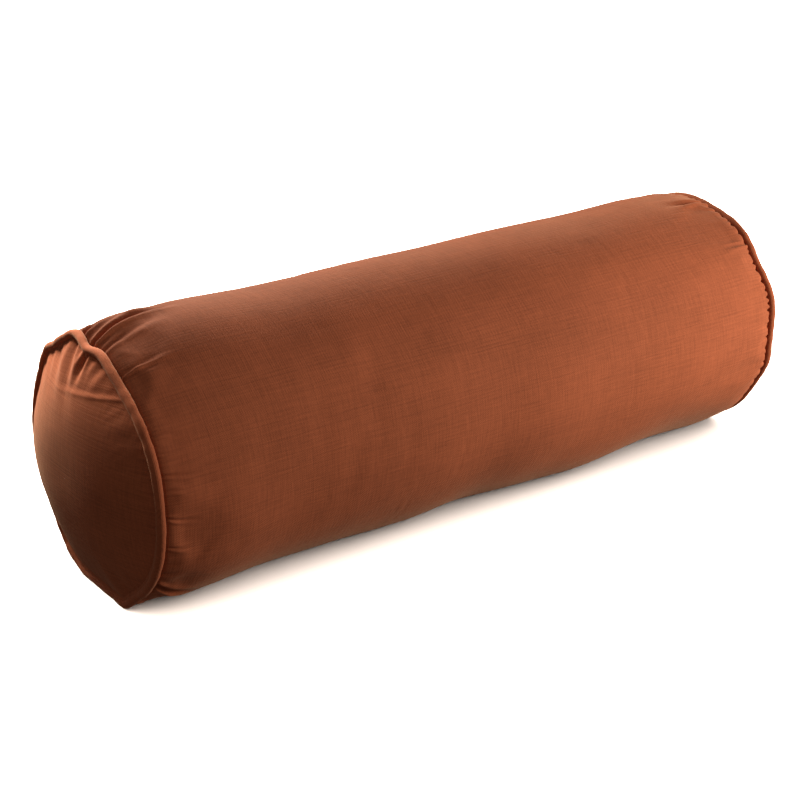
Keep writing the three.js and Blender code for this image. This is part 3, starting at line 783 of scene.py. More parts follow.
def piping(side):
    """One ring of piping cloth with its flange."""
    turn = np.linspace(0, 2 * math.pi, PIPING_STEPS, endpoint=False)
    ring_x, ring_radius = ring(turn, side)
    thick = piping_r * 0.98 * piping_thickness(turn, 5 if side < 0 else 6)
    section = [(np.cos(a) * thick, np.sin(a) * thick) for a in np.radians(np.linspace(-150, 150, 17))]
    for half_gap in (0.25, -0.25):
        section.append((-thick * 0.87 - FLANGE, thick * half_gap))
    section.append(section[0])
    rows = []
    for outward, along in section:
        y, z = around(turn, ring_radius + outward)
        rows.append(np.stack([ring_x + along, y, pressed(z, 1.2 * MM)], -1))
    around_cord = np.linspace(0, 2 * math.pi * piping_r, len(rows))[:, None]
    length = (turn * ring_r)[None]
    diagonal = math.sqrt(0.5)
    flat = np.stack([(length + around_cord) * diagonal, (length - around_cord) * diagonal], -1)
    name = SIDE_NAMES[side]
    piece = cloth_object(f"piping_{name}_cloth", np.array(rows), flat, wrap=True)
    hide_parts(f"piping_cloth_{name}")
    return piece


pipings = [piping(-1), piping(1)]

# %% Twist the cord inside it
CORD_STRANDS = 3
CORD_CRESTS = 90  # strands met along one side of the cord in one ring


def piping_cord(side):
    """The twisted cotton cord inside one ring of piping, as a closed tube."""
    turn = np.linspace(0, 2 * math.pi, PIPING_STEPS, endpoint=False)
    ring_x, ring_radius = ring(turn, side)
    rows = []
    angles = np.linspace(0, 2 * math.pi, 19)
    for angle in angles:
        lobes = 0.9 + 0.08 * np.cos(CORD_STRANDS * (angle - CORD_CRESTS / CORD_STRANDS * turn))
        thick = cord_r * lobes
        y, z = around(turn, ring_radius + thick * math.cos(angle))
        rows.append(np.stack([ring_x + thick * math.sin(angle), y, np.maximum(z, 1.0 * MM)], -1))
    flat = np.stack(np.broadcast_arrays((turn * ring_r)[None], (angles * cord_r)[:, None]), -1)
    name = SIDE_NAMES[side]
    piece = cloth_object(f"piping_{name}_cord", np.array(rows), flat, wrap=True)
    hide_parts(f"piping_cord_{name}")
    return piece


cords = [piping_cord(-1), piping_cord(1)]

# %% [markdown]
# ## The inner cushion
# Inside the cover is a plain cushion: fibre packed into a thin cotton liner, which comes out when the zip
# is open. The cover leans on it, so its shape is the cover's own shape drawn inwards. Taking the lowest
# point of each patch of the cover keeps the liner clear of every fold. The fibre is drawn in from the
# liner in the same way.

# %% Draw the liner in from the cover
LINER_GAP = 1.4 * MM
LINER_PATCH = 5  # rows of the cover to one row of the liner
LINER_COLUMNS = 124
LINER_LIFT = 1.2 * MM  # how far it stays above the cover's underside
LINER_STEP = 1.0 * MM  # a row is cut to this much above the lower of its neighbours
LINER_END_GAP = 3.0 * MM  # between the liner and the cover at each end


def lowest_in_patches(heights, rows, cols):
    """The lowest value in each patch of rows by cols. Rows left over join the last patch."""
    count = heights.shape[0] // rows
    bands = [heights[i * rows : (i + 1) * rows if i < count - 1 else None].min(axis=0) for i in range(count)]
    return np.array(bands).reshape(count, -1, cols).min(axis=-1)


wide_turn = zip_turn + np.linspace(0, 2 * math.pi, BARREL_COLUMNS, endpoint=False)
wide = barrel_height(wide_turn, barrel_x)
liner_radius = lowest_in_patches(wide, LINER_PATCH, BARREL_COLUMNS // LINER_COLUMNS)
liner_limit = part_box("liner_barrel")[1][2] - axis_z  # the slider needs the room above it
patch_middles = np.arange(liner_radius.shape[0]) * LINER_PATCH + LINER_PATCH // 2
liner_x = barrel_x[np.minimum(patch_middles, barrel_x.size - 1)]
liner_turn = wide_turn.reshape(-1, BARREL_COLUMNS // LINER_COLUMNS).mean(axis=1)
neighbour = np.minimum(liner_radius, np.minimum(np.roll(liner_radius, 1, 1), np.roll(liner_radius, -1, 1)))
liner_radius = np.minimum(neighbour - LINER_GAP, liner_limit)
lower_row = np.minimum(liner_radius[:-2], liner_radius[2:])
liner_radius[1:-1] = np.minimum(liner_radius[1:-1], lower_row + LINER_STEP)
LINER_SEAM_X = seam_x - 4.5 * MM
liner_x = np.concatenate([[-LINER_SEAM_X], liner_x, [LINER_SEAM_X]])
liner_edge = np.minimum(liner_radius[[0, -1]] - 3 * MM, ring_r - 9 * MM)
liner_radius = np.concatenate([liner_edge[:1], liner_radius, liner_edge[1:]])
print(f"liner radius {liner_radius.min() * 1000:.1f} to {liner_radius.max() * 1000:.1f} mm")


def inner_points(x, turn, radius, lift):
    """Points of an inner surface, resting a little above the floor."""
    y, z = around(turn, radius)
    return np.stack([x + 0 * y, y, pressed(z, 3 * MM) + lift], -1)


liner_points = inner_points(liner_x[:, None], liner_turn[None], liner_radius, LINER_LIFT)
liner_flat = np.stack(np.broadcast_arrays(liner_x[:, None], liner_turn[None] * barrel_r), -1)
liner_barrel = cloth_object("liner_barrel_cloth", liner_points, liner_flat, wrap=True)
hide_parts("liner_barrel")

# %% Close the liner's ends
END_ROWS = 26


def inner_end(side, gap, edge_radius):
    """Distance out and radius of an end surface that stays a gap inside the cover's end panel."""
    share = np.sin(np.linspace(0, 1, END_ROWS) * math.pi / 2).reshape(-1, 1)
    share[0] = 0.004
    fine_turn = liner_turn[:, None] + np.linspace(-0.025, 0.025, 3)[None]
    cover_out, _ = end_shape(side, fine_turn.reshape(-1), share)
    cover_out = cover_out.reshape(END_ROWS, -1, 3).min(axis=-1)
    out = LINER_SEAM_X + (cover_out - gap - LINER_SEAM_X) * (1 - share ** 6)
    return np.maximum(out, LINER_SEAM_X), share * edge_radius.reshape(1, -1)


def liner_end(side):
    """The liner's disc at one end."""
    out, radius = inner_end(side, LINER_END_GAP, liner_radius[0 if side < 0 else -1])
    points = inner_points(side * out, liner_turn[None], radius, LINER_LIFT)
    flat = points[..., 1:]
    if side > 0:
        points, flat = points[::-1], flat[::-1]
    name = SIDE_NAMES[side]
    piece = cloth_object(f"liner_end_{name}_cloth", points, flat, wrap=True)
    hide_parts(f"liner_end_{name}")
    return piece


liner_ends = [liner_end(-1), liner_end(1)]

# %% Pack the fibre
FIBRE_GAP = 1.2 * MM
FIBRE_END_GAP = 4.4 * MM
FIBRE_LIFT = 2.4 * MM


def fibre():
    """The filling as one closed lumpy body, a little inside the liner."""
    rows = {}
    for side in (-1, 1):
        edge = liner_radius[0 if side < 0 else -1] - FIBRE_GAP
        out, radius = inner_end(side, FIBRE_END_GAP, edge)
        rows[side] = side * (out - 0.8 * MM), radius
    barrel = liner_x[1:-1, None] + 0 * liner_radius[1:-1], liner_radius[1:-1] - FIBRE_GAP
    x = np.concatenate([rows[-1][0], barrel[0], rows[1][0][::-1]])
    radius = np.concatenate([rows[-1][1], barrel[1], rows[1][1][::-1]])
    points = inner_points(x, liner_turn[None], radius, FIBRE_LIFT)
    flat = np.stack(np.broadcast_arrays(x, liner_turn[None] * barrel_r), -1)
    piece = cloth_object("fibre_filling_body", points, flat, wrap=True)
    shell = bmesh.new()
    shell.from_mesh(piece.data)
    open_edges = [edge for edge in shell.edges if edge.is_boundary]
    bmesh.ops.holes_fill(shell, edges=open_edges, sides=0)
    shell.to_mesh(piece.data)
    shell.free()
    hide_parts("fibre_filling")
    return piece


filling = fibre()

# %% [markdown]
# ## The zip
# A coil zip is two woven tapes, each with a coiled plastic wire along its edge, a metal slider with a
# pull, and a metal stop at each end. The tapes lie flat under the slot, so the zip has its own flat
# frame: x along it, across, and up from the bolster's axis. Where each part begins and ends is read from
# the frame's own solids, in those directions.

# %% Find the zip's directions
zip_across = np.array([0, -math.cos(zip_turn), -math.sin(zip_turn)])
zip_up = np.array([0, -math.sin(zip_turn), math.cos(zip_turn)])
zip_axis = np.array([0, 0, axis_z])


def zip_place(x, across, up):
    """A point from its place in the zip's own frame."""
    x, across, up = np.broadcast_arrays(x, across, up)
    along = np.stack([x, 0 * x, 0 * x], -1)
    return zip_axis + along + across[..., None] * zip_across + up[..., None] * zip_up


def zip_extent(node_name):
    """Lowest and highest (x, across, up) of a part of the zip."""
    corners = np.array([vertex.co[:] for vertex in bpy.data.objects[node_name].data.vertices]) - zip_axis
    places = np.stack([corners[:, 0], corners @ zip_across, corners @ zip_up], -1)
    return places.min(axis=0), places.max(axis=0)


for part in ("zip_tape_upper", "zip_coil_upper", "zip_slider", "zip_pull"):
    low, high = zip_extent(part)
    print(part, "from", np.round(low * 1000, 1), "to", np.round(high * 1000, 1), "mm")

# %% [markdown]
# ## Tapes and coils
# A tape is a thin flat strip, woven as a fine twill. A coil is a wire wound in flattened loops. On a real
# zip the loops of the two coils hook into each other's gaps. Here they stand half a loop apart and stop
# just short of the middle, so that the two coils stay clear of each other. A helix as a grid swept along
# its own path gives real teeth that catch the light.

# %% Weave the tapes
TAPE_ROWS = 260
TAPE_HALF_THICK = 0.22 * MM
TAPE_GAP = 0.35 * MM  # from the zip's middle to a tape's inner edge
FLAT_TAPE = 10.5 * MM  # width that stays flat before the tape sags


def tape(node_name, name):
    """One tape as a closed flat tube."""
    low, high = zip_extent(node_name)
    way = 1 if high[1] > 0 else -1
    inner, outer = way * TAPE_GAP, (high[1] if way > 0 else low[1])
    reach = np.linspace(0, abs(outer - inner), 15)
    sag = np.maximum(reach - FLAT_TAPE, 0) * 0.2
    top = low[2] + 0.5 * (high[2] - low[2]) + TAPE_HALF_THICK - sag
    across = np.concatenate([inner + way * reach, (inner + way * reach)[::-1], [inner]])
    up = np.concatenate([top, (top - 2 * TAPE_HALF_THICK)[::-1], [top[0]]])
    x = np.linspace(low[0], high[0], TAPE_ROWS)
    points = zip_place(x[None], across[:, None], high[2] - 0.25 * MM + 0 * x[None] + (up - top[0])[:, None])
    flat = np.stack(np.broadcast_arrays(x[None], across[:, None]), -1)
    piece = cloth_object(name, points if way < 0 else points[::-1], flat if way < 0 else flat[::-1])
    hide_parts(node_name)
    return piece


tapes = [tape("zip_tape_lower", "zip_tape_lower_weave"), tape("zip_tape_upper", "zip_tape_upper_weave")]

# %% Wind the coils
COIL_PITCH = 1.3 * MM
WIRE_R = 0.3 * MM
WIRE_STEPS = 12
WIRE_SIDES = 6
COIL_GAP = 0.15 * MM  # from the zip's middle to a coil


def coil(node_name, name, phase):
    """A wire wound in flattened loops along one tape's edge."""
    low, high = zip_extent(node_name)
    way = 1 if high[1] > 0 else -1
    outer = max(abs(low[1]), abs(high[1])) - WIRE_R
    inner = COIL_GAP + WIRE_R
    middle, half = (outer + inner) / 2, (outer - inner) / 2
    rise, half_rise = (low[2] + high[2]) / 2, (high[2] - low[2]) / 2 - WIRE_R
    loops = (high[0] - low[0] - 2 * WIRE_R) / COIL_PITCH
    path = np.linspace(0, loops * 2 * math.pi, int(loops * WIRE_STEPS))
    x = low[0] + WIRE_R + path / (2 * math.pi) * COIL_PITCH
    across = way * (middle - half * np.cos(path + phase))
    up = rise + half_rise * np.sin(path + phase)
    centre = zip_place(x, across, up)
    along = np.gradient(centre, axis=0)
    along /= np.linalg.norm(along, axis=1, keepdims=True)
    side = np.cross(along, np.array([1.0, 0, 0]))
    side /= np.linalg.norm(side, axis=1, keepdims=True)
    other = np.cross(along, side)
    angles = np.linspace(0, 2 * math.pi, WIRE_SIDES + 1)
    rows = [centre + WIRE_R * (math.cos(a) * side + math.sin(a) * other) for a in angles]
    flat = np.stack(np.broadcast_arrays((path * 1.2 * MM)[None], (angles * WIRE_R)[:, None]), -1)
    piece = cloth_object(name, np.array(rows), flat)
    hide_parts(node_name)
    return piece


coils = [
    coil("zip_coil_lower", "zip_coil_lower_wire", 0.0),
    coil("zip_coil_upper", "zip_coil_upper_wire", math.pi),
]

# %% [markdown]
# ## Slider, pull and stops
# These are small castings, so no edge on them is sharp. Their solids are already right, and a bevel of
# about a fifth of a millimetre on a copy of each is what makes the metal catch light along its edges. The
# slider and the pull ride on their own bodies, because they move.

# %% Soften the castings
def casting(node_name, name, body, bevel_width):
    """A copy of a solid with its edges rounded."""
    shell = bmesh.new()
    shell.from_mesh(bpy.data.objects[node_name].data)
    bmesh.ops.remove_doubles(shell, verts=shell.verts, dist=0.002 * MM)
    bmesh.ops.dissolve_limit(shell, angle_limit=math.radians(1), verts=shell.verts, edges=shell.edges)
    mesh = bpy.data.meshes.new(name)
    shell.to_mesh(mesh)
    shell.free()
    piece = added(name, mesh)
    bevel = piece.modifiers.new("cast edges", "BEVEL")
    bevel.width = bevel_width
    bevel.segments = 3
    bevel.limit_method = "ANGLE"
    bevel.angle_limit = math.radians(35)
    bevel.use_clamp_overlap = True
    mesh.polygons.foreach_set("use_smooth", np.ones(len(mesh.polygons), dtype=bool))
    weighted = piece.modifiers.new("even shading", "WEIGHTED_NORMAL")
    weighted.keep_sharp = True
    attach(piece, body)
    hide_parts(node_name)
    print(f"{name}: {len(mesh.vertices)} corners before rounding")
    return piece


castings = [
    casting("zip_slider", "zip_slider_casting", "zip_slider", 0.22 * MM),
    casting("zip_pull", "zip_pull_tab", "zip_pull", 0.25 * MM),
    casting("zip_top_stop_lower", "zip_top_stop_lower_clamp", "bolster", 0.15 * MM),
    casting("zip_top_stop_upper", "zip_top_stop_upper_clamp", "bolster", 0.15 * MM),
    casting("zip_bottom_stop", "zip_bottom_stop_clamp", "bolster", 0.2 * MM),
]

# %% [markdown]
# ## Stitching
# The folded edges are held to the tapes by a row of stitches on each side, and a short dense bar at each
# end takes the strain. Each stitch is a small soft-ended length of thread that dips into the cloth at
# both ends.

# %% Sew the zip in
STITCH = 2.9 * MM
THREAD_R = 0.24 * MM
STITCH_OUT = SLOT_HALF + 5.0 * MM  # from the zip's middle to a row of stitches
BAR_SPACING = 0.62 * MM  # between the stitches of the dense bars
BAR_HALF = 1.4 * MM  # half the length of one of them


def thread_run(begin, end, normal):
    """Points of one stitch from begin to end, as rows of a grid."""
    part = np.linspace(0, 1, 6)
    dip = np.sin(part * math.pi) ** 0.5
    centre = begin + (end - begin) * part[:, None] + normal * (dip * THREAD_R * 1.1 - THREAD_R * 0.7)[:, None]
    along = (end - begin) / np.linalg.norm(end - begin)
    side = np.cross(along, normal)
    thick = THREAD_R * (0.35 + 0.65 * np.sqrt(np.sin(np.clip(part, 0.06, 0.94) * math.pi)))
    angles = np.linspace(0, 2 * math.pi, 7)[:, None, None]
    return centre + thick[:, None] * (np.cos(angles) * side + np.sin(angles) * normal)


def surface_point(x, turn):
    """A point on the barrel's cloth, and the direction out of it."""
    radius = barrel_height(np.array([turn]), np.array([x]))[0, 0]
    y, z = around(turn, radius)
    return np.array([x, float(y), float(z)]), np.array([0, -math.sin(turn), math.cos(turn)])


def stitched(name, runs):
    """One piece from many stitches."""
    quads, corners, count = [], [], 0
    for begin, end, normal in runs:
        points = thread_run(begin, end, normal)
        quads.append(grid_quads(points.shape[0], points.shape[1], False) + count)
        corners.append(points.reshape(-1, 3))
        count += points.shape[0] * points.shape[1]
    mesh = quad_mesh(name, np.concatenate(corners), np.concatenate(quads))
    mesh.validate()
    piece = added(name, mesh)
    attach(piece, "bolster")
    print(f"{name}: {len(quads)} stitches")
    return piece


runs = []
stitch_half = opening_half + 9 * MM
for way in (-1, 1):
    turn = zip_turn + way * STITCH_OUT / barrel_r
    places = np.arange(-stitch_half, stitch_half, STITCH)
    heights = barrel_height(np.array([turn]), np.append(places, places[-1] + STITCH))[:, 0]
    normal = np.array([0, -math.sin(turn), math.cos(turn)])
    for index, x in enumerate(places):
        ends = []
        for at, height in ((x, heights[index]), (x + STITCH * 0.82, heights[index + 1])):
            y, z = around(turn, height)
            ends.append(np.array([at, float(y), float(z)]))
        runs.append((ends[0], ends[1], normal))
for side in (-1, 1):
    for index in range(int(2 * STITCH_OUT / BAR_SPACING)):
        turn = zip_turn + (-STITCH_OUT + index * BAR_SPACING) / barrel_r
        begin, normal = surface_point(side * stitch_half - BAR_HALF, turn)
        end, _ = surface_point(side * stitch_half + BAR_HALF, turn + 0.3 * MM / barrel_r)
        runs.append((begin, end, normal))
stitching = stitched("zip_stitching", runs)

# %% [markdown]
# ## The care label
# A short satin ribbon is folded double and caught beside the zip on the inside. It is blank here.

# %% Fold the label
label_low, label_high = (np.array(corner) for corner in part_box("care_label"))
label_middle = (label_low + label_high) / 2
label_turn = math.atan2(-label_middle[1], label_middle[2] - axis_z)
LABEL_HALF = 8 * MM  # half its width round the barrel
LAYER_POINTS = 12  # across each of the two layers
LAYER_OUT = 0.32  # from the fold's middle to a layer, in mm
label_radius = math.hypot(label_middle[1], label_middle[2] - axis_z) + 0.1 * MM
upper_layer = np.linspace(-LABEL_HALF, LABEL_HALF, LAYER_POINTS)
lower_layer = np.linspace(LABEL_HALF, -LABEL_HALF, LAYER_POINTS)
label_across = np.concatenate([upper_layer, lower_layer])
ribbon_point = np.arange(2 * LAYER_POINTS)
layer_up = np.where(ribbon_point < LAYER_POINTS, LAYER_OUT, -LAYER_OUT) * MM
label_up = label_radius + layer_up * (1 + 0.25 * np.sin(ribbon_point / 3))
label_x = np.linspace(label_low[0], label_high[0], 12)
label_y, label_z = around(label_turn + label_across / barrel_r, label_up)
label_points = np.stack(np.broadcast_arrays(label_x[None], label_y[:, None], label_z[:, None]), -1)
ribbon_length = np.linspace(0, 4 * LABEL_HALF, 2 * LAYER_POINTS)
label_flat = np.stack(np.broadcast_arrays(label_x[None], ribbon_length[:, None]), -1)
label = cloth_object("care_label_ribbon", label_points, label_flat)
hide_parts("care_label")

# %% [markdown]
# ## Building materials from nodes
# Every finish is worked out from a place on the piece, in metres, so its detail keeps one true size.
# Cloth reads its flat map. Castings, thread and fibre read their own coordinates. A few helpers keep the
# node trees short to write.

# %% Helpers for node trees
def node(tree, kind, **settings):
    """Adds a node and sets what is given: inputs by name, or else the node's own properties."""
    made = tree.nodes.new(kind)
    for key, value in settings.items():
        if key in made.inputs:
            made.inputs[key].default_value = value
        else:
            setattr(made, key, value)
    return made


def maths(tree, operation, first, second=None):
    """A Math node on two values or sockets."""
    made = node(tree, "ShaderNodeMath", operation=operation)
    for socket, value in zip(made.inputs, (first, second)):
        if isinstance(value, bpy.types.NodeSocket):
            tree.links.new(value, socket)
        elif value is not None:
            socket.default_value = value
    return made.outputs[0]


def total(tree, *terms):
    """Adds up (socket, weight) pairs."""
    result = None
    for socket, weight in terms:
        term = maths(tree, "MULTIPLY", socket, weight)
        result = term if result is None else maths(tree, "ADD", result, term)
    return result


def streaks(tree, place, lengths, detail=2.0, offset=0.0):
    """Noise drawn out along x, y and z by lengths in metres."""
    stretch = node(tree, "ShaderNodeMapping", vector_type="POINT")
    stretch.inputs["Scale"].default_value = [1 / length for length in lengths]
    stretch.inputs["Location"].default_value = (offset, offset * 0.7, offset * 1.3)
    tree.links.new(place, stretch.inputs["Vector"])
    noise_node = node(tree, "ShaderNodeTexNoise", Scale=1.0, Detail=detail, Roughness=0.55)
    tree.links.new(stretch.outputs[0], noise_node.inputs["Vector"])
    return noise_node.outputs["Fac"]


def ramp(tree, fac, stops):
    """A colour ramp through (place, colour) stops."""
    made = node(tree, "ShaderNodeValToRGB")
    elements = made.color_ramp.elements
    while len(elements) < len(stops):
        elements.new(0.5)
    for element, (place, colour) in zip(elements, stops):
        element.position = place
        element.color = (*colour, 1)
    tree.links.new(fac, made.inputs[0])
    return made.outputs[0]


def wave(tree, value, spacing, shift=0.0):
    """A sine of a length, once per spacing."""
    angle = maths(tree, "MULTIPLY", value, 2 * math.pi / spacing)
    return maths(tree, "SINE", maths(tree, "ADD", angle, shift))


def new_material(name):
    """An empty node tree in a new material."""
    material = bpy.data.materials.new(name)
    material.use_nodes = True
    material.node_tree.nodes.clear()
    return material, material.node_tree


def cloth_place(tree):
    """The flat map of the cloth, and its two lengths: along and across the piece."""
    flat = node(tree, "ShaderNodeUVMap", uv_map=CLOTH_MAP).outputs[0]
    split = node(tree, "ShaderNodeSeparateXYZ")
    tree.links.new(flat, split.inputs[0])
    return flat, split.outputs[0], split.outputs[1]


SHEEN_ROUGHNESS = 0.34


def surface(tree, colour, height, roughness, specular=0.2, metallic=0.0, sheen=0.0, sheen_tint=(1, 1, 1)):
    """The shader: a colour socket, a height socket in metres, and numbers set straight on the shader."""
    bump = node(tree, "ShaderNodeBump", Strength=1.0, Distance=1.0)
    tree.links.new(height, bump.inputs["Height"])
    shader = node(tree, "ShaderNodeBsdfPrincipled")
    shader.inputs["Specular IOR Level"].default_value = specular
    shader.inputs["Metallic"].default_value = metallic
    shader.inputs["Sheen Weight"].default_value = sheen
    shader.inputs["Sheen Roughness"].default_value = SHEEN_ROUGHNESS
    shader.inputs["Sheen Tint"].default_value = (*sheen_tint, 1)
    if isinstance(roughness, bpy.types.NodeSocket):
        tree.links.new(roughness, shader.inputs["Roughness"])
    else:
        shader.inputs["Roughness"].default_value = roughness
    tree.links.new(colour, shader.inputs["Base Color"])
    tree.links.new(bump.outputs[0], shader.inputs["Normal"])
    output = node(tree, "ShaderNodeOutputMaterial")
    tree.links.new(shader.outputs[0], output.inputs[0])
    return len(tree.nodes)


# %% [markdown]
# ## The cover's cotton
# Hand-woven cotton has uneven threads. Up close it is a plain weave. From further off, heavier threads
# show as fine broken lines along the bolster, with fainter ones across, over a soft cloudiness that comes
# from the dye.

# %% Weave the cotton
YARN = 0.85 * MM  # between neighbouring threads
RIB = 3.4 * MM  # between the heavier lines that run along the bolster
WARM_SHEEN = (1.0, 0.72, 0.46)


def hand_woven(name, middle, rib_depth=1.0, slub_depth=1.0, sheen=0.14):
    """Hand-woven cotton in tones of one dye."""
    material, tree = new_material(name)
    flat, along, across = cloth_place(tree)
    wander = maths(tree, "MULTIPLY", streaks(tree, flat, (0.05, 0.012, 1)), 2.6)
    weave = maths(tree, "MULTIPLY", wave(tree, across, 2 * YARN), wave(tree, along, 2 * YARN))
    rib = maths(tree, "POWER", maths(tree, "ABSOLUTE", wave(tree, across, 2 * RIB, wander)), 7.0)
    rib_here = maths(tree, "SUBTRACT", streaks(tree, flat, (0.07, 0.02, 1), offset=3.1), 0.36)
    rib = maths(tree, "MULTIPLY", rib, maths(tree, "MAXIMUM", rib_here, 0.0))
    long_slubs = streaks(tree, flat, (0.030, 0.0013, 1), detail=3.0, offset=1.7)
    cross_slubs = streaks(tree, flat, (0.0015, 0.020, 1), detail=3.0, offset=5.2)
    grain = streaks(tree, flat, (0.0009, 0.0009, 1), offset=9.4)
    clouds = streaks(tree, flat, (0.09, 0.06, 1), detail=3.0, offset=7.9)
    tone = total(
        tree,
        (long_slubs, 0.27),
        (cross_slubs, 0.25),
        (grain, 0.24),
        (clouds, 0.24),
        (rib, -0.17 * rib_depth),
    )
    shades = [(0.34, 0.72), (0.5, 1.0), (0.66, 1.26)]
    colour = ramp(tree, tone, [(place, [shade * part for part in middle]) for place, shade in shades])
    height = total(
        tree,
        (weave, 0.07 * MM),
        (long_slubs, 0.19 * MM * slub_depth),
        (cross_slubs, 0.18 * MM * slub_depth),
        (rib, -0.20 * MM * rib_depth),
    )
    count = surface(tree, colour, height, 0.9, specular=0.15, sheen=sheen, sheen_tint=WARM_SHEEN)
    print(f"{name}: {count} nodes")
    return material


rust_cotton = hand_woven("rust_cotton", (0.312, 0.078, 0.0295))
piping_cotton = hand_woven("piping_cotton", (0.305, 0.076, 0.029), rib_depth=0.2, slub_depth=0.7, sheen=0.18)


# %% [markdown]
# ## Plainer cloths
# The liner is unbleached calico, the cord is twisted cotton, the tapes are a fine twill, and the label is
# satin. All of them are one woven pattern and some noise on the same flat map, so one function makes
# them.

# %% Weave the plainer cloths
def plain_cloth(name, dark, light, yarn, along_slub, bump_height, roughness=0.85, sheen=0.1, diagonal=0.0):
    """An evenly woven cloth. diagonal leans the pattern, as a twill or a twisted cord does."""
    material, tree = new_material(name)
    flat, along, across = cloth_place(tree)
    lean = maths(tree, "ADD", across, maths(tree, "MULTIPLY", along, diagonal))
    weave = maths(tree, "MULTIPLY", wave(tree, lean, 2 * yarn), wave(tree, along, 2 * yarn, 0.6))
    slubs = streaks(tree, flat, (along_slub, 2 * yarn, 1), detail=3.0)
    grain = streaks(tree, flat, (0.02, 0.02, 1), detail=4.0, offset=4.4)
    tone = total(tree, (weave, 0.14), (slubs, 0.6), (grain, 0.4))
    colour = ramp(tree, tone, [(0.3, dark), (0.7, light)])
    height = total(tree, (weave, bump_height), (slubs, bump_height))
    surface(tree, colour, height, roughness, sheen=sheen)
    return material


def fluff(name):
    """Carded polyester fibre: fine crossing hairs in soft clumps."""
    material, tree = new_material(name)
    place = node(tree, "ShaderNodeTexCoord").outputs["Object"]
    hairs = [
        streaks(tree, place, lengths, detail=3.0, offset=index * 2.3)
        for index, lengths in enumerate([(0.02, 0.0008, 0.004), (0.0008, 0.02, 0.004), (0.004, 0.0009, 0.02)])
    ]
    clumps = streaks(tree, place, (0.03, 0.03, 0.03), detail=4.0)
    tone = total(tree, *[(hair, 0.22) for hair in hairs], (clumps, 0.34))
    colour = ramp(tree, tone, [(0.3, (0.62, 0.61, 0.58)), (0.65, (0.88, 0.88, 0.86))])
    height = total(tree, *[(hair, 0.5 * MM) for hair in hairs], (clumps, 3 * MM))
    surface(tree, colour, height, 0.8, sheen=0.4)
    return material


calico = plain_cloth("calico", (0.55, 0.50, 0.42), (0.78, 0.74, 0.66), 0.45 * MM, 0.02, 0.05 * MM)
cord_cotton = plain_cloth(
    "cord_cotton", (0.60, 0.55, 0.46), (0.82, 0.78, 0.70), 0.7 * MM, 0.006, 0.10 * MM, diagonal=0.8
)
tape_twill = plain_cloth(
    "tape_twill", (0.085, 0.026, 0.012), (0.19, 0.058, 0.028), 0.5 * MM, 0.004, 0.07 * MM,
    roughness=0.7, sheen=0.15, diagonal=1.0,
)
label_satin = plain_cloth(
    "label_satin", (0.62, 0.58, 0.50), (0.78, 0.74, 0.66), 0.18 * MM, 0.008, 0.015 * MM, roughness=0.38
)
polyester_fibre = fluff("polyester_fibre")


# %% [markdown]
# ## Thread, nylon and brass
# Thread shows its twist, nylon is smooth with faint drawing lines, and brass that is handled darkens in
# its hollows and wears bright where fingers rub. Pointiness, which tells ridges from hollows, is worked
# out from the shape itself, so the wear sits on true edges.

# %% Make thread, nylon and brass
def sewing_thread(name, dark, light):
    """Sewing thread with its twist."""
    material, tree = new_material(name)
    place = node(tree, "ShaderNodeTexCoord").outputs["Object"]
    split = node(tree, "ShaderNodeSeparateXYZ")
    tree.links.new(place, split.inputs[0])
    lean = total(tree, (split.outputs[0], 1.0), (split.outputs[2], 1.3), (split.outputs[1], 0.8))
    twist = wave(tree, lean, 0.45 * MM)
    grain = streaks(tree, place, (0.004, 0.001, 0.001), detail=3.0)
    colour = ramp(tree, total(tree, (twist, 0.16), (grain, 1.0)), [(0.3, dark), (0.72, light)])
    surface(tree, colour, total(tree, (twist, 0.04 * MM), (grain, 0.05 * MM)), 0.6, sheen=0.2)
    return material


def nylon(name, dark, light):
    """Drawn nylon wire."""
    material, tree = new_material(name)
    flat, _, _ = cloth_place(tree)
    lines = streaks(tree, flat, (0.01, 0.0003, 1), detail=2.0)
    patches = streaks(tree, flat, (0.004, 0.004, 1), detail=3.0, offset=2.0)
    colour = ramp(tree, total(tree, (lines, 0.4), (patches, 0.6)), [(0.3, dark), (0.7, light)])
    roughness = total(tree, (patches, 0.6), (lines, 0.4))
    surface(tree, colour, total(tree, (lines, 0.01 * MM)), roughness, specular=0.3)
    return material


def old_brass(name):
    """Brass with dull hollows, worn edges and fine scratches."""
    material, tree = new_material(name)
    place = node(tree, "ShaderNodeTexCoord").outputs["Object"]
    scratches = streaks(tree, place, (0.006, 0.0002, 0.0002), detail=3.0)
    patches = streaks(tree, place, (0.003, 0.003, 0.003), detail=5.0, offset=3.0)
    edges = node(tree, "ShaderNodeNewGeometry").outputs["Pointiness"]
    tone = total(tree, (edges, 0.9), (patches, 0.35), (scratches, 0.15))
    stops = [(0.55, (0.09, 0.055, 0.024)), (0.70, (0.21, 0.135, 0.055)), (0.84, (0.42, 0.29, 0.13))]
    colour = ramp(tree, tone, stops)
    roughness = total(tree, (patches, 0.6), (scratches, 0.4))
    height = total(tree, (scratches, 0.012 * MM), (patches, 0.02 * MM))
    surface(tree, colour, height, roughness, specular=0.5, metallic=1.0)
    return material


rust_thread = sewing_thread("rust_thread", (0.24, 0.066, 0.028), (0.50, 0.16, 0.075))
coil_nylon = nylon("coil_nylon", (0.085, 0.030, 0.016), (0.15, 0.055, 0.030))
aged_brass = old_brass("aged_brass")
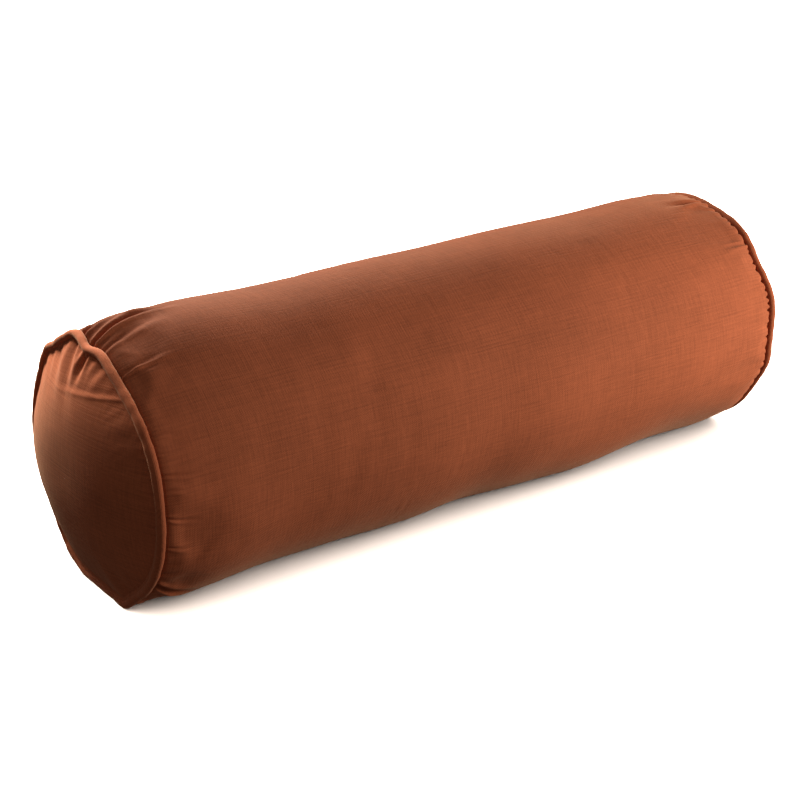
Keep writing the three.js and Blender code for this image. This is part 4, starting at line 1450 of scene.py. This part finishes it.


# %% [markdown]
# ## Dressing the pieces
# A real bolster uses a few materials, each for several pieces. So each piece is given one shared
# material, and the slot that it stands for is printed. A material of its own for every piece would
# look the same, but then a change of cloth would have to be made in many places.

# %% Dress every piece
def finish(pieces, material, slot):
    """Gives pieces one material, and names the record's slot that they stand for."""
    for piece in pieces:
        piece.data.materials.clear()
        piece.data.materials.append(material)
    print(f"{material.name}: {len(pieces)} pieces, slot {slot}")


finish([cover_barrel] + end_panels, rust_cotton, "cover_cloth")
finish([stitching], rust_thread, "cover_cloth")
finish(pipings, piping_cotton, "piping_cloth")
finish(cords, cord_cotton, "cotton_cord")
finish([liner_barrel] + liner_ends, calico, "liner_cloth")
finish([filling], polyester_fibre, "fibre")
finish(tapes, tape_twill, "zip_tape")
finish(coils, coil_nylon, "zip_coil")
finish(castings, aged_brass, "zip_metal")
finish([label], label_satin, "label_ribbon")

# %% [markdown]
# ## The studio
# The bolster lies on plain white. A lamp low at the front right models the barrel and fades towards the
# left end, a wide one behind draws a pale rim along the top, and one behind on the left catches the edge
# of the left end. That last lamp is flagged off everything but the left panel and its piping. The sheet
# on the floor is set dark, and a very strong wide light that reaches nothing else brings it back to
# white. The lamps on the bolster then hardly show on the sheet, and what is left is the soft shadow right
# under the barrel. The sheet throws no light back on to the cloth.

# %% Lay the floor
FLOOR_REACH = 12.0
SHEET_GREY = 0.12
floor_mesh = bpy.data.meshes.new("floor")
corners = [(x * FLOOR_REACH, y * FLOOR_REACH, 0) for x, y in ((-1, -1), (1, -1), (1, 1), (-1, 1))]
floor_mesh.from_pydata(corners, [], [(0, 1, 2, 3)])
floor = added("floor", floor_mesh)
paper = bpy.data.materials.new("white_paper")
paper.use_nodes = True
paper_shader = paper.node_tree.nodes["Principled BSDF"]
paper_shader.inputs["Base Color"].default_value = (SHEET_GREY, SHEET_GREY, SHEET_GREY, 1)
paper_shader.inputs["Roughness"].default_value = 0.9
paper_shader.inputs["Specular IOR Level"].default_value = 0.0
floor_mesh.materials.append(paper)
floor.visible_diffuse = False
floor.visible_glossy = False
print(f"floor: a sheet {2 * FLOOR_REACH:.0f} m square")

# %% Set the lights
def aimed(name, lamp, place, target):
    """Puts a lamp in the scene, pointing at a target."""
    holder = added(name, lamp)
    holder.location = place
    holder.rotation_euler = (Vector(target) - Vector(place)).to_track_quat("-Z", "Y").to_euler()
    holder.visible_camera = False
    print(f"{name}: at {place}, energy {lamp.energy:.1f}")
    return holder


def soft_light(name, place, target, size, power, colour):
    """A rectangular lamp that points at a target. Its size is in metres and its power in watts."""
    lamp = bpy.data.lights.new(name, "AREA")
    lamp.shape = "RECTANGLE"
    lamp.size, lamp.size_y = size
    lamp.energy = power
    lamp.color = colour
    return aimed(name, lamp, place, target)


soft_light("front_right_light", (0.76, -0.60, 0.25), (0.16, 0, 0.1), (0.42, 0.36), 12.0, (1.0, 0.95, 0.88))
soft_light("back_light", (-0.02, 1.35, 0.84), (-0.02, 0, 0.14), (1.3, 0.6), 50, (1.0, 0.95, 0.83))
edge_light = soft_light(
    "back_left_light", (-0.36, 0.95, 1.1), (-0.35, 0, 0.12), (0.4, 0.4), 46, (1.0, 1.0, 0.9)
)

floor_sky = bpy.data.lights.new("floor_sky", "SUN")
floor_sky.energy = 130
floor_sky.angle = math.radians(130)
floor_sky.color = (1.0, 0.84, 0.74)
floor_light = aimed("floor_sky", floor_sky, (0, 0, 3), (0, 0, 0))


def light_only(lamp, pieces):
    """Lets a lamp light these pieces alone, as a flag in front of it would."""
    lit = bpy.data.collections.new("lit_by_" + lamp.name)
    for piece in pieces:
        lit.objects.link(piece)
    lamp.light_linking.receiver_collection = lit


light_only(floor_light, [floor])
light_only(edge_light, [end_panels[0], pipings[0]])

# %% Fill the shadows
world = bpy.data.worlds.new("studio")
bpy.context.scene.world = world
world.use_nodes = True
sky = world.node_tree
sky.nodes.clear()
sky_split = node(sky, "ShaderNodeSeparateXYZ")
sky.links.new(node(sky, "ShaderNodeTexCoord").outputs["Generated"], sky_split.inputs[0])
SKY_STOPS = [  # from straight below to straight above
    (0.0, (0.12, 0.09, 0.07)),
    (0.5, (0.10, 0.092, 0.085)),
    (0.7, (0.18, 0.175, 0.17)),
    (1.0, (0.36, 0.36, 0.36)),
]
sky_rise = maths(sky, "ADD", maths(sky, "MULTIPLY", sky_split.outputs[2], 0.5), 0.5)
sky_colour = ramp(sky, sky_rise, SKY_STOPS)
sky_light = node(sky, "ShaderNodeBackground", Strength=1.0)
sky.links.new(sky_colour, sky_light.inputs[0])
sky_white = node(sky, "ShaderNodeBackground", Strength=1.0)
sky_white.inputs[0].default_value = (1, 1, 1, 1)
sky_mix = node(sky, "ShaderNodeMixShader")
sky.links.new(node(sky, "ShaderNodeLightPath").outputs["Is Camera Ray"], sky_mix.inputs[0])
sky.links.new(sky_light.outputs[0], sky_mix.inputs[1])
sky.links.new(sky_white.outputs[0], sky_mix.inputs[2])
sky.links.new(sky_mix.outputs[0], node(sky, "ShaderNodeOutputWorld").inputs[0])
bpy.context.scene.view_settings.view_transform = "Standard"
print(f"sky: a ramp of {len(SKY_STOPS)} colours, and plain white behind the bolster")

# %% [markdown]
# ## The camera
# A long lens from the left and a little above, so that the near end shows its dome and the barrel runs
# away to the right.

# %% Place the camera
CAMERA_PLACE = Vector((-0.8899, -1.1899, 0.7161))
CAMERA_AIM = Vector((0.54045, 0.74476, -0.39147))
lens = bpy.data.cameras.new("camera")
lens.sensor_width = 36
lens.lens = 83.5
camera = added("camera", lens)
camera.location = CAMERA_PLACE
camera.rotation_euler = CAMERA_AIM.to_track_quat("-Z", "Y").to_euler()
bpy.context.scene.camera = camera
print(f"camera: {lens.lens:.1f} mm lens, {CAMERA_PLACE.length:.2f} m from the middle of the floor")
